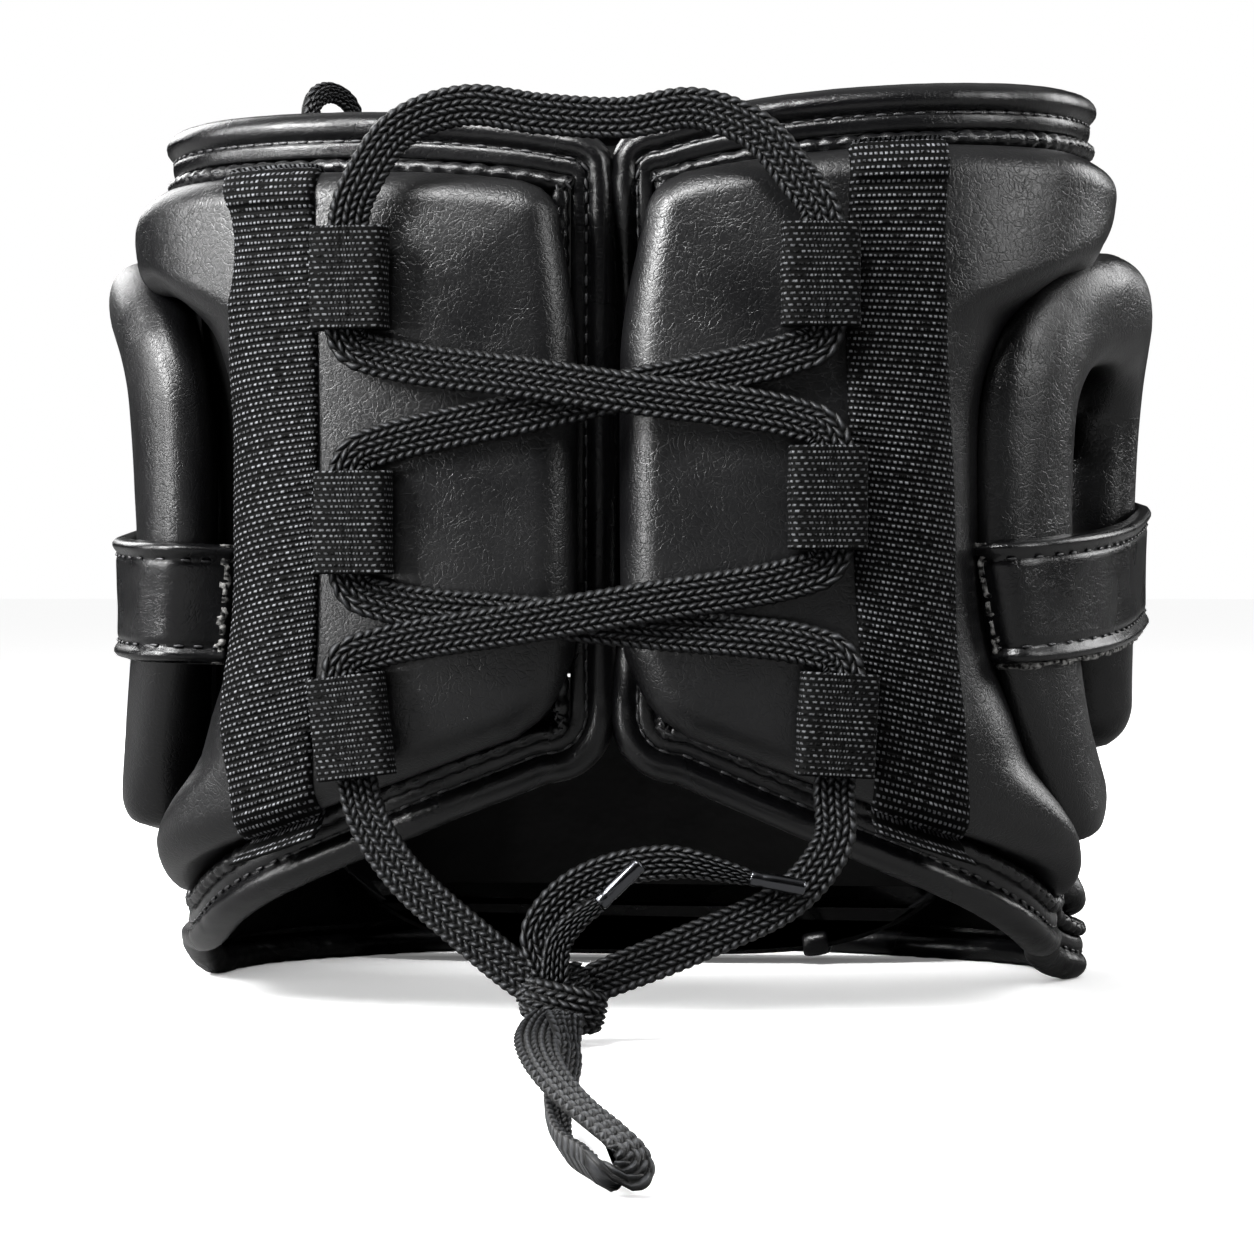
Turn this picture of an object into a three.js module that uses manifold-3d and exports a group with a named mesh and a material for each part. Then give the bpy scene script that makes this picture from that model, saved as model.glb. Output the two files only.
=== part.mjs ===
// Boxing head guard with a laced back, standing on its jaw and chin rim.
// Millimetres, +Z up, +Y towards the face, +X to the wearer's right, z = 0 on the table.
// Places on the guard are given as an angle round the head, in degrees from the slit at the back
// (+ towards +X, 180 at the face), a height z, and an offset out from the shell.

import * as THREE from 'three';
import { mergeVertices } from 'three/addons/utils/BufferGeometryUtils.js';
import Module from 'manifold-3d';

const { degToRad, lerp, clamp, smoothstep } = THREE.MathUtils;
const wasm = await Module();
wasm.setup();

// Shell: the outer face of the lining. It is narrowest at the ears and flares to crown and jaw.
const WAIST = { z: 94, width: 100, back: 97, front: 106.3 };
const CROWN = { z: 214, width: 111, back: 95, front: 105.3 };
const JAW = { z: 0, width: 104, back: 92, front: 103.3 };
const BACK_SQUARENESS = 3.5;
const FRONT_SQUARENESS = 2.4;
const ARC_PER_DEGREE = 1.8;

// Rims: lines that the rolled edges follow.
const BACK_TOP = 207.5;
const SIDE_TILT = 4.5;
const FRONT_RISE = 20;
const SLIT_DIP = 13;
const SLIT_DIP_REACH = 16;
const SLIT_HALF_GAP = 5;
const TOP_CORNER = 9;
const LOW_CORNER = 13;
const HEM_AT_SLIT = 66.3;
const HEM_FALL = 0.69;
const HEM_CORNER = { from: 58, to: 78 };
const FLOOR_ROLL = 3;

// Walls and clearances.
const GAP = 0.4;
const LINING = 5;
const ROLL_CLEAR = 4.3;
const PAD_SEAT = 0.9;
const FRONT_SEAT = 0.5;
const PAD_MARGIN = 9;
const PAD_EDGE = 2.4;
const BACK_PAD = 18;
const SIDE_PAD = 12;
const FRONT_PAD = 16;
const PAD_ROUNDING = 9;
const BACK_BEND = 45;
const FRONT_BEND = 90;

// Openings in the lining.
const FACE = { half: 27, low: 80, high: 152, corner: 22 };
const EAR_HOLE = { angle: 75, z: 112, halfWidth: 12, halfHeight: 30 };

// Ear guards: inverted U rolls. The back leg leans forward towards its tip.
const EAR = { arch: 74, half: 28.5, archZ: 137.4, width: 27, thick: 23, taper: 12 };
const BACK_LEG = [
  { z: 44, angle: 73.5 },
  { z: 54, angle: 71 },
  { z: 65, angle: 68 },
  { z: 88, angle: 62 },
  { z: 112, angle: 58.6 },
];
const FRONT_LEG = [
  { z: 112, angle: 90.5 },
  { z: 88, angle: 92 },
  { z: 63, angle: 94 },
];

// Ear straps.
const STRAP = { from: 50, to: 103, low: 81.5, wide: 28, thick: 2.2, grow: 3, lean: 5 };
const STRAP_RISE = { left: 4, right: 12 };

// Webbing and lace loops.
const WEBBING = { half: 9.7, thick: 1.6, lift: 1.7 };
const WEBBING_X = {
  left: { top: -73, low: -74 },
  right: { top: 66.5, low: 72 },
};
const LOOP = { wide: 17.2, deep: 8, tall: 23, wall: 1.6, lift: 0.8 };
const LOOPS = [
  { name: 'lace_loop_left_1', x: -55, z: 168.5, roll: 0 },
  { name: 'lace_loop_left_2', x: -54, z: 114.1, roll: 0 },
  { name: 'lace_loop_left_3', x: -54.5, z: 68.6, roll: -7 },
  { name: 'lace_loop_right_1', x: 48.5, z: 168.7, roll: 0 },
  { name: 'lace_loop_right_2', x: 50, z: 119.5, roll: 0 },
  { name: 'lace_loop_right_3', x: 52, z: 69.3, roll: 3 },
];

// Lace: a flat braid with a metal tube crimped on each end.
const LACE = { wide: 8.4, thick: 2.6 };
const AGLET = { long: 12.5, radius: 1.8, bore: 1.1, deep: 3, sides: 14 };
const KNOT = { x: -6.8, y: -134, z: 9.6, wide: 16.5, deep: 12, tall: 12.4 };

const MATERIALS = {
  leather: new THREE.MeshStandardMaterial({ color: 0x1b1b1c, roughness: 0.42 }),
  lining: new THREE.MeshStandardMaterial({ color: 0x141414, roughness: 0.6 }),
  webbing: new THREE.MeshStandardMaterial({ color: 0x1d1d1e, roughness: 0.85 }),
  lace: new THREE.MeshStandardMaterial({ color: 0x161617, roughness: 0.8 }),
  aglet: new THREE.MeshStandardMaterial({ color: 0x4a4b4d, roughness: 0.25, metalness: 1 }),
};

const guard = new THREE.Group();

function add(name, material, geometry) {
  const mesh = new THREE.Mesh(geometry, MATERIALS[material]);
  mesh.name = name;
  guard.add(mesh);
  return mesh;
}

// Angle from the slit as a size from 0 to 180, and the side it lies on.
function foldAngle(angle) {
  const turned = THREE.MathUtils.euclideanModulo(angle + 180, 360) - 180;
  return { size: Math.abs(turned), side: turned < 0 ? -1 : 1 };
}

function shellSize(z) {
  const end = z > WAIST.z ? CROWN : JAW;
  const share = ((z - WAIST.z) / (end.z - WAIST.z)) ** 2;
  return {
    width: lerp(WAIST.width, end.width, share),
    back: lerp(WAIST.back, end.back, share),
    front: lerp(WAIST.front, end.front, share),
  };
}

// Point at an angle and height, pushed out from the shell by an offset in plan.
function spot(angle, z, offset) {
  const size = shellSize(z);
  const sin = Math.sin(degToRad(angle));
  const cos = Math.cos(degToRad(angle));
  const depth = cos > 0 ? size.back : size.front;
  const power = cos > 0 ? BACK_SQUARENESS : FRONT_SQUARENESS;
  const reach = (Math.abs(sin / size.width) ** power + Math.abs(cos / depth) ** power) ** (-1 / power);
  const x = reach * sin;
  const y = -reach * cos;
  const slopeX = Math.sign(x) * Math.abs(x) ** (power - 1) / size.width ** power;
  const slopeY = Math.sign(y) * Math.abs(y) ** (power - 1) / depth ** power;
  const steep = Math.hypot(slopeX, slopeY);
  return new THREE.Vector3(x + (slopeX / steep) * offset, y + (slopeY / steep) * offset, z);
}

const SLIT_ANGLE = SLIT_HALF_GAP / ARC_PER_DEGREE;

// Drop of a rounded corner at a distance from its upright edge.
function cornerDrop(distance, radius) {
  const inside = clamp(radius - distance, 0, radius);
  return radius - Math.sqrt(radius ** 2 - inside ** 2);
}

// Heights of the two rims before their corners at the slit are rounded.
function crownBase(angle) {
  const { size, side } = foldAngle(angle);
  return BACK_TOP + side * SIDE_TILT * Math.sin(degToRad(size)) + FRONT_RISE * smoothstep(size, 60, 180)
    - SLIT_DIP * Math.exp(-size / SLIT_DIP_REACH);
}

function hemBase(angle) {
  const { size } = foldAngle(angle);
  return lerp(HEM_AT_SLIT - HEM_FALL * size, FLOOR_ROLL, smoothstep(size, HEM_CORNER.from, HEM_CORNER.to));
}

// Height of a line that keeps a distance from a rim, measured square to it.
function besideRim(base, sign, corner, angle, inset) {
  const { size, side } = foldAngle(angle);
  const reach = 1.5;
  const rise = base(side * (size + reach)) - base(side * Math.max(size - reach, 0));
  const slope = rise / (2 * reach * ARC_PER_DEGREE);
  const fromSlit = (size - SLIT_ANGLE) * ARC_PER_DEGREE - inset;
  return base(angle) + sign * (inset * Math.hypot(1, slope) + cornerDrop(fromSlit, Math.max(corner - inset, 0)));
}

const crownLine = (angle, inset = 0) => besideRim(crownBase, -1, TOP_CORNER, angle, inset);
const hemLine = (angle, inset = 0) => besideRim(hemBase, 1, LOW_CORNER, angle, inset);

// Closed solid through rings of points; a ring's first half runs out and its second half back.
function loft(rings, closed = false) {
  const count = rings[0].length;
  const positions = rings.flat().flatMap((point) => point.toArray());
  const index = [];
  const quad = (a, b, c, d) => index.push(a, b, c, a, c, d);
  const spans = closed ? rings.length : rings.length - 1;
  for (let ring = 0; ring < spans; ring++) {
    const here = ring * count;
    const next = ((ring + 1) % rings.length) * count;
    for (let i = 0; i < count; i++) {
      const j = (i + 1) % count;
      quad(here + i, here + j, next + j, next + i);
    }
  }
  if (!closed) {
    const end = (rings.length - 1) * count;
    for (let i = 0; i < count / 2 - 1; i++) {
      const k = count - 1 - i;
      quad(i + 1, i, k, k - 1);
      quad(end + i, end + i + 1, end + k - 1, end + k);
    }
  }
  return facingOut(positions, index);
}

function facingOut(positions, index) {
  const geometry = new THREE.BufferGeometry();
  geometry.setAttribute('position', new THREE.Float32BufferAttribute(positions, 3));
  const corner = (i) => new THREE.Vector3().fromArray(positions, 3 * index[i]);
  let volume = 0;
  for (let i = 0; i < index.length; i += 3) {
    volume += corner(i).dot(corner(i + 1).cross(corner(i + 2)));
  }
  geometry.setIndex(volume < 0 ? index.reverse() : index);
  return geometry;
}

function toSolid(geometry) {
  const bare = geometry.clone();
  bare.deleteAttribute('normal');
  bare.deleteAttribute('uv');
  const merged = mergeVertices(bare, 1e-4);
  return new wasm.Manifold(new wasm.Mesh({
    numProp: 3,
    vertProperties: new Float32Array(merged.attributes.position.array),
    triVerts: new Uint32Array(merged.index.array),
  }));
}

function fromSolid(solid) {
  const mesh = solid.getMesh();
  const geometry = new THREE.BufferGeometry();
  geometry.setAttribute('position', new THREE.BufferAttribute(mesh.vertProperties, 3));
  geometry.setIndex(new THREE.BufferAttribute(mesh.triVerts, 1));
  return geometry;
}

// Shares from 0 to 1, close together at both ends.
function shares(steps) {
  return Array.from({ length: steps + 1 }, (_, i) => (1 - Math.cos((Math.PI * i) / steps)) / 2);
}

// Section swept along a path on the shell. Path rows are { angle, z }; section rows are { out, up }:
// out runs across the path in the shell, up is the offset from the shell.
function sweepOnShell(path, sectionAt, closed = false) {
  const rings = path.map((here, i) => {
    const before = path[closed ? (i + path.length - 1) % path.length : Math.max(i - 1, 0)];
    const after = path[closed ? (i + 1) % path.length : Math.min(i + 1, path.length - 1)];
    const run = new THREE.Vector2((after.angle - before.angle) * ARC_PER_DEGREE, after.z - before.z).normalize();
    return sectionAt(i).map(({ out, up }) => {
      const angle = here.angle + (run.y * out) / ARC_PER_DEGREE;
      return spot(angle, Math.max(here.z - run.x * out, 0), up);
    });
  });
  return loft(rings, closed);
}

// Lining: the whole inner wall, with the face and ear openings cut through it.

const COLUMN_ANGLES = [16, 23, 30, 37, 44, 51, 57, 62, 67, 72.5, 78, 84, 92, 104, 117, 130, 144, 158];

function liningSolid() {
  const rows = shares(6);
  const edge = SLIT_ANGLE + ROLL_CLEAR / ARC_PER_DEGREE;
  const cornerAngles = [0, 0.04, 0.15, 0.4, 1].map((share) => edge + (share * (LOW_CORNER - ROLL_CLEAR)) / ARC_PER_DEGREE);
  const half = [...cornerAngles, ...COLUMN_ANGLES];
  const round = [...half, 180, ...half.map((angle) => 360 - angle).reverse()];
  const rings = round.map((angle) => {
    const low = hemLine(angle, ROLL_CLEAR);
    const high = crownLine(angle, ROLL_CLEAR);
    const outer = rows.map((share) => spot(angle, lerp(low, high, share), 0));
    const inner = rows.map((share) => spot(angle, lerp(low, high, share), -LINING));
    return [...outer, ...inner.reverse()];
  });
  return loft(rings);
}

// Rounded outline of the face opening as { angle, z }, grown by a margin.
function faceOutline(margin) {
  const half = FACE.half * ARC_PER_DEGREE + margin;
  const corner = FACE.corner + margin;
  const outline = new THREE.Shape();
  outline.moveTo(half, (FACE.low + FACE.high) / 2);
  outline.lineTo(half, FACE.high + margin - corner);
  outline.absarc(half - corner, FACE.high + margin - corner, corner, 0, Math.PI / 2);
  outline.absarc(corner - half, FACE.high + margin - corner, corner, Math.PI / 2, Math.PI);
  outline.absarc(corner - half, FACE.low - margin + corner, corner, Math.PI, 1.5 * Math.PI);
  outline.absarc(half - corner, FACE.low - margin + corner, corner, 1.5 * Math.PI, 2 * Math.PI);
  outline.closePath();
  return outline.getSpacedPoints(30).slice(0, -1).map(({ x, y }) => ({ angle: 180 - x / ARC_PER_DEGREE, z: y }));
}

function faceCutter() {
  const outline = faceOutline(ROLL_CLEAR).map(({ angle, z }) => {
    const edge = spot(angle, z, -LINING / 2);
    return new THREE.Vector2(edge.x, z);
  });
  const cutter = new THREE.ExtrudeGeometry(new THREE.Shape(outline), { depth: 160, bevelEnabled: false });
  return cutter.rotateX(Math.PI / 2).translate(0, 180, 0);
}

function earCutter(side) {
  const hole = new THREE.Shape();
  hole.absellipse(0, 0, EAR_HOLE.halfWidth, EAR_HOLE.halfHeight, 0, 2 * Math.PI);
  const cutter = new THREE.ExtrudeGeometry(hole, { depth: 40, bevelEnabled: false, curveSegments: 9 });
  const centre = spot(side * EAR_HOLE.angle, EAR_HOLE.z, -20);
  cutter.rotateX(Math.PI / 2).rotateZ(Math.PI / 2);
  cutter.rotateZ(degToRad(side > 0 ? -7 : 187));
  return cutter.translate(centre.x, centre.y, centre.z);
}

const cutLining = [faceCutter(), earCutter(1), earCutter(-1)]
  .reduce((wall, cutter) => wall.subtract(toSolid(cutter)), toSolid(liningSolid()));
add('lining', 'lining', fromSolid(cutLining));

// Rolled edges: one for each half, from the face over the crown, down the slit and along the hem.

// Rolled edge with the flat lip that lies over the lining beside it.
const ROLL_SECTION = [
  { out: -7.4, up: 0.9 },
  { out: -3.1, up: 0.7 },
  { out: -3.3, up: -3.8 },
  { out: -0.8, up: -6 },
  { out: 3, up: -4.8 },
  { out: 3.3, up: -1.2 },
  { out: -0.2, up: 2.7 },
  { out: -7.4, up: 2.5 },
];

function rollPath() {
  const path = [];
  const topAngles = [...COLUMN_ANGLES].reverse();
  topAngles.forEach((angle) => path.push({ angle, z: crownLine(angle) }));
  const turn = (radius, line, sign, shareList) => shareList.forEach((share) => {
    const sweep = (share * Math.PI) / 2;
    const angle = SLIT_ANGLE + (radius * (1 - Math.sin(sweep))) / ARC_PER_DEGREE;
    const level = line(SLIT_ANGLE + radius / ARC_PER_DEGREE);
    path.push({ angle, z: level - sign * radius * (1 - Math.cos(sweep)) });
  });
  const quarter = [0, 0.25, 0.5, 0.75, 1];
  turn(TOP_CORNER, crownLine, 1, quarter);
  const upright = path[path.length - 1].z;
  const foot = hemLine(SLIT_ANGLE + LOW_CORNER / ARC_PER_DEGREE) + LOW_CORNER;
  [0.33, 0.67].forEach((share) => path.push({ angle: SLIT_ANGLE, z: lerp(upright, foot, share) }));
  turn(LOW_CORNER, hemLine, -1, [...quarter].reverse());
  COLUMN_ANGLES.forEach((angle) => path.push({ angle, z: hemLine(angle) }));
  const meet = 180 - GAP / ARC_PER_DEGREE;
  return [{ angle: meet, z: crownLine(180) }, ...path, { angle: meet, z: FLOOR_ROLL }];
}

for (const [name, side] of [['edge_roll_left', -1], ['edge_roll_right', 1]]) {
  const path = rollPath().map(({ angle, z }) => ({
    angle: side * angle,
    z: z + (crownLine(side * angle) - crownLine(angle)) * smoothstep(z, 120, 200),
  }));
  const section = ROLL_SECTION.map(({ out, up }) => ({ out: side * out, up }));
  add(name, 'leather', sweepOnShell(path, () => section));
}

// Rolled edge of the face opening.
const FACE_ROLL = { radius: 3.3, sides: 8 };
const faceSection = Array.from({ length: FACE_ROLL.sides }, (_, i) => {
  const turn = (2 * Math.PI * (i + 0.5)) / FACE_ROLL.sides;
  return { out: FACE_ROLL.radius * Math.cos(turn), up: FACE_ROLL.radius * Math.sin(turn) - LINING / 2 };
});
add('face_roll', 'leather', sweepOnShell(faceOutline(0), () => faceSection, true));

// Pads: foam under leather, sewn down round the edge. Each row of a pad is a section at one level,
// with the angles of its two side seams.

function padThickness(angle) {
  const { size } = foldAngle(angle);
  return lerp(BACK_PAD, SIDE_PAD, smoothstep(size, 50, 75)) + (FRONT_PAD - SIDE_PAD) * smoothstep(size, 110, 140);
}

class Pad {
  constructor(rows, side, columns, seat, bend) {
    this.rows = rows;
    this.side = side;
    this.seat = seat;
    this.bend = bend;
    this.columns = shares(columns);
    const edge = (row, share) => this.place(row, share);
    const last = rows.length - 1;
    this.outline = [
      ...rows.map((_, row) => edge(row, 0)),
      ...this.columns.map((share) => edge(last, share)),
      ...rows.map((_, row) => edge(last - row, 1)),
      ...this.columns.map((share) => edge(0, 1 - share)),
    ].map(({ angle, z }) => new THREE.Vector2(angle * ARC_PER_DEGREE, z));
  }

  // Columns stand upright as far as the knee of the row, where there is one.
  place(row, share) {
    const { level, from, to, knee } = this.rows[row];
    const upright = 0.55;
    let turn = lerp(from, to, share);
    if (knee) turn = share < upright ? lerp(from, knee, share / upright) : lerp(knee, to, (share - upright) / (1 - upright));
    const angle = this.side * turn;
    return { angle, z: level(angle) };
  }

  // Clearance that the flat facets of a row need over the round shell.
  clearance(row) {
    const { from, to } = this.rows[row];
    const widest = (to - from) * ARC_PER_DEGREE * Math.PI / (2 * (this.columns.length - 1));
    return this.seat + widest ** 2 / (8 * this.bend);
  }

  // Offset of the pad's face: full in the middle, rounded down to a thin edge at its outline.
  face(angle, z) {
    const here = new THREE.Vector3(angle * ARC_PER_DEGREE, z, 0);
    const closest = new THREE.Vector3();
    let nearest = Infinity;
    this.outline.forEach((start, i) => {
      const end = this.outline[(i + 1) % this.outline.length];
      const side = new THREE.Line3(new THREE.Vector3(start.x, start.y, 0), new THREE.Vector3(end.x, end.y, 0));
      side.closestPointToPoint(here, true, closest);
      nearest = Math.min(nearest, closest.distanceTo(here));
    });
    const slack = 1 - Math.min(nearest / PAD_ROUNDING, 1);
    return GAP + PAD_EDGE + (padThickness(angle) - PAD_EDGE) * Math.sqrt(1 - slack ** 2);
  }

  geometry() {
    const rings = this.rows.map((_, row) => {
      const places = this.columns.map((share) => this.place(row, share));
      const outer = places.map(({ angle, z }) => spot(angle, z, this.face(angle, z)));
      const inner = places.map(({ angle, z }) => spot(angle, z, this.clearance(row)));
      return [...outer, ...inner.reverse()];
    });
    return loft(rings);
  }
}

const overHem = (rise) => (angle) => hemLine(angle, PAD_MARGIN) + rise;
const underCrown = (drop) => (angle) => crownLine(angle, PAD_MARGIN) - drop;
const height = (z) => () => z;
const PAD_SLIT = SLIT_ANGLE + PAD_MARGIN / ARC_PER_DEGREE;
const EAR_TOP = 181;
const LOW_LEVEL = 98;
const lowBlend = (share) => (angle) => lerp(overHem(11)(angle), LOW_LEVEL, share);
const overEar = (share) => (angle) => lerp(EAR_TOP, underCrown(10)(angle), share);

// Back pads: from the slit round behind the ear, and over the ear to the temple.
const BACK_ROWS = [
  { level: overHem(0), from: PAD_SLIT + 4, to: 74 },
  { level: overHem(2), from: PAD_SLIT + 1.8, to: 72 },
  { level: overHem(5), from: PAD_SLIT + 0.6, to: 67 },
  { level: overHem(11), from: PAD_SLIT, to: 61 },
  { level: lowBlend(0.45), from: PAD_SLIT, to: 53 },
  { level: height(LOW_LEVEL), from: PAD_SLIT, to: 47.8 },
  { level: height(116), from: PAD_SLIT, to: 47.6 },
  { level: height(138), from: PAD_SLIT, to: 47.6 },
  { level: height(156), from: PAD_SLIT, to: 50 },
  { level: height(170), from: PAD_SLIT, to: 56 },
  { level: height(EAR_TOP), from: PAD_SLIT, to: 64 },
  { level: overEar(0.25), from: PAD_SLIT, to: 73 },
  { level: overEar(0.5), from: PAD_SLIT, to: 83 },
  { level: overEar(0.75), from: PAD_SLIT, to: 94 },
  { level: underCrown(10), from: PAD_SLIT, to: 104 },
  { level: underCrown(6), from: PAD_SLIT, to: 106 },
  { level: underCrown(3), from: PAD_SLIT + 0.6, to: 107 },
  { level: underCrown(1), from: PAD_SLIT + 1.8, to: 108 },
  { level: underCrown(0), from: PAD_SLIT + 4, to: 108 },
];
const kneeOf = ({ to }) => 38 + 0.35 * Math.max(to - 50, 0);
const backPads = {};
for (const [name, side] of [['left', -1], ['right', 1]]) {
  backPads[name] = new Pad(BACK_ROWS.map((row) => ({ ...row, knee: kneeOf(row) })), side, 12, PAD_SEAT, BACK_BEND);
  add(`back_pad_${name}`, 'leather', backPads[name].geometry());
}

// Front pads: brow, cheeks and chin, round the face opening.
const FACE_EDGE = 180 - FACE.half;
const PAD_SEAM = 4;
const browLow = height(FACE.high + PAD_MARGIN);
const cheekHigh = height(FACE.high + PAD_MARGIN - PAD_SEAM);
const chinHigh = height(FACE.low - PAD_MARGIN);
const between = (low, high, from, to) => shares(6).map((share) => (
  { level: (angle) => lerp(low(angle), high(angle), share), from, to }
));
const TEMPLE_SEAM = 110;
const browRows = between(browLow, underCrown(0), TEMPLE_SEAM, 360 - TEMPLE_SEAM);
const chinRows = between(overHem(0), chinHigh, FACE_EDGE - 3, 360 - FACE_EDGE + 3);
const cheekRows = between(overHem(0), cheekHigh, 107, FACE_EDGE - PAD_MARGIN / ARC_PER_DEGREE);
const frontPad = (rows, side, columns) => new Pad(rows, side, columns, FRONT_SEAT, FRONT_BEND).geometry();
add('brow_pad', 'leather', frontPad(browRows, 1, 14));
add('chin_pad', 'leather', frontPad(chinRows, 1, 9));
add('cheek_pad_left', 'leather', frontPad(cheekRows, -1, 8));
add('cheek_pad_right', 'leather', frontPad(cheekRows, 1, 8));

// Ear guards: a D-shaped roll bent into an inverted U, with rounded tips.

const EAR_SIDES = 10;
const EAR_SECTION = Array.from({ length: EAR_SIDES }, (_, i) => {
  const turn = (2 * Math.PI * (i + 0.5)) / EAR_SIDES;
  const bulge = (value) => Math.sign(value) * Math.abs(value) ** 0.75;
  return { out: bulge(Math.cos(turn)) / 2, up: (bulge(Math.sin(turn)) + 1) / 2 };
});

function earPath() {
  const arch = Array.from({ length: 11 }, (_, i) => {
    const turn = Math.PI * (1 - i / 10);
    return {
      angle: EAR.arch + (EAR.half * Math.cos(turn)) / ARC_PER_DEGREE,
      z: EAR.archZ + EAR.half * Math.sin(turn),
    };
  });
  const tipBelow = ({ angle, z }) => ({ angle, z: z - EAR.taper / 3 });
  return [tipBelow(BACK_LEG[0]), ...BACK_LEG, ...arch, ...FRONT_LEG, tipBelow(FRONT_LEG[FRONT_LEG.length - 1])];
}

function earSection(path, i) {
  const isTip = i === 0 || i === path.length - 1;
  const narrow = isTip ? 0.55 : 1;
  return EAR_SECTION.map(({ out, up }) => ({
    out: out * EAR.width * narrow,
    up: PAD_SEAT + up * EAR.thick * (isTip ? 0.7 : 1),
  }));
}

for (const [name, side] of [['ear_guard_left', -1], ['ear_guard_right', 1]]) {
  const path = earPath().map(({ angle, z }) => ({ angle: side * angle, z }));
  add(name, 'leather', sweepOnShell(path, (i) => earSection(path, i)));
}

// Ear straps: leather straps drawn tight over both legs of the ear guard.

function legAngle(leg, z) {
  const rows = [...leg].sort((a, b) => a.z - b.z);
  const above = rows.findIndex((row) => row.z >= z);
  if (above < 1) return above === 0 ? rows[0].angle : rows[rows.length - 1].angle;
  const share = (z - rows[above - 1].z) / (rows[above].z - rows[above - 1].z);
  return lerp(rows[above - 1].angle, rows[above].angle, share);
}

// Highest offset of either leg under the strap at an angle.
function legHeight(angle) {
  let height = 0;
  for (let z = STRAP.low - 2; z <= STRAP.low + STRAP.wide + STRAP_RISE.right + 4; z += 4) {
    for (const leg of [BACK_LEG, FRONT_LEG]) {
      const across = Math.abs(angle - legAngle(leg, z)) * ARC_PER_DEGREE / (EAR.width / 2);
      if (across < 1) {
        const sine = Math.sqrt(1 - across ** (2 / 0.75));
        height = Math.max(height, PAD_SEAT + EAR.thick * (1 + sine ** 0.75) / 2);
      }
    }
  }
  return height;
}

// Taut line over the legs, as { arc, off }: the upper hull of their heights.
function tautLine() {
  const end = { low: 2.5, clear: 0.9 };
  const spots = [];
  for (let angle = STRAP.from; angle <= STRAP.to; angle += 0.5) {
    const isEnd = angle === STRAP.from || angle === STRAP.to;
    spots.push({ arc: angle * ARC_PER_DEGREE, off: isEnd ? end.low : legHeight(angle) + end.clear });
  }
  const hull = [];
  for (const next of spots) {
    while (hull.length > 1) {
      const [a, b] = hull.slice(-2);
      const turn = (b.arc - a.arc) * (next.off - a.off) - (b.off - a.off) * (next.arc - a.arc);
      if (turn < 0) break;
      hull.pop();
    }
    hull.push(next);
  }
  return hull.filter((_, i) => i < 5 || i > hull.length - 6 || i % 4 === 0);
}

function strapGeometry(side, rise) {
  const line = tautLine();
  const rings = line.map((here, i) => {
    const before = line[Math.max(i - 1, 0)];
    const after = line[Math.min(i + 1, line.length - 1)];
    const run = new THREE.Vector2(after.arc - before.arc, after.off - before.off).normalize();
    const share = i / (line.length - 1);
    const low = STRAP.low + rise * share;
    const high = low + STRAP.wide + STRAP.grow * share;
    const skin = (lift) => [0, 0.5, 1].map((up) => {
      const arc = here.arc - run.y * lift + STRAP.lean * (1 - up) * (1 - share);
      return spot((side * arc) / ARC_PER_DEGREE, lerp(low, high, up), here.off + run.x * lift);
    });
    return [...skin(STRAP.thick), ...skin(0).reverse()];
  });
  return loft(rings);
}

add('ear_strap_left', 'leather', strapGeometry(-1, STRAP_RISE.left));
add('ear_strap_right', 'leather', strapGeometry(1, STRAP_RISE.right));

// Webbing bands: sewn down over the back pads from rim to hem.

// Angle at which the face of a pad has a given x.
function angleOnPad(pad, x, z) {
  let near = 2;
  let far = 60;
  for (let step = 0; step < 30; step++) {
    const middle = (near + far) / 2;
    const angle = pad.side * middle;
    const reach = Math.abs(spot(angle, z, pad.face(angle, z)).x);
    if (reach < Math.abs(x)) near = middle;
    else far = middle;
  }
  return pad.side * near;
}

for (const [name, pad] of Object.entries(backPads)) {
  const { top, low } = WEBBING_X[name];
  const middle = angleOnPad(pad, top, WAIST.z);
  const rings = shares(14).map((v) => {
    const z = lerp(overHem(0.6)(middle), underCrown(0.6)(middle), v);
    const angles = [-1, -0.33, 0.33, 1].map((across) => angleOnPad(pad, lerp(low, top, v) + across * WEBBING.half, z));
    const skin = (lift) => angles.map((angle) => spot(angle, z, pad.face(angle, z) + WEBBING.lift + lift));
    return [...skin(WEBBING.thick), ...skin(0).reverse()];
  });
  add(`webbing_${name}`, 'webbing', loft(rings));
}

// Lace loops: short lengths of webbing folded into flat tubes, standing on the pads.

function roundedSlot(wide, deep, radius) {
  const slot = new THREE.Path();
  slot.absarc(wide / 2 - radius, deep / 2 - radius, radius, 0, Math.PI / 2);
  slot.absarc(radius - wide / 2, deep / 2 - radius, radius, Math.PI / 2, Math.PI);
  slot.absarc(radius - wide / 2, radius - deep / 2, radius, Math.PI, 1.5 * Math.PI);
  slot.absarc(wide / 2 - radius, radius - deep / 2, radius, 1.5 * Math.PI, 2 * Math.PI);
  slot.closePath();
  return slot;
}

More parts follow.
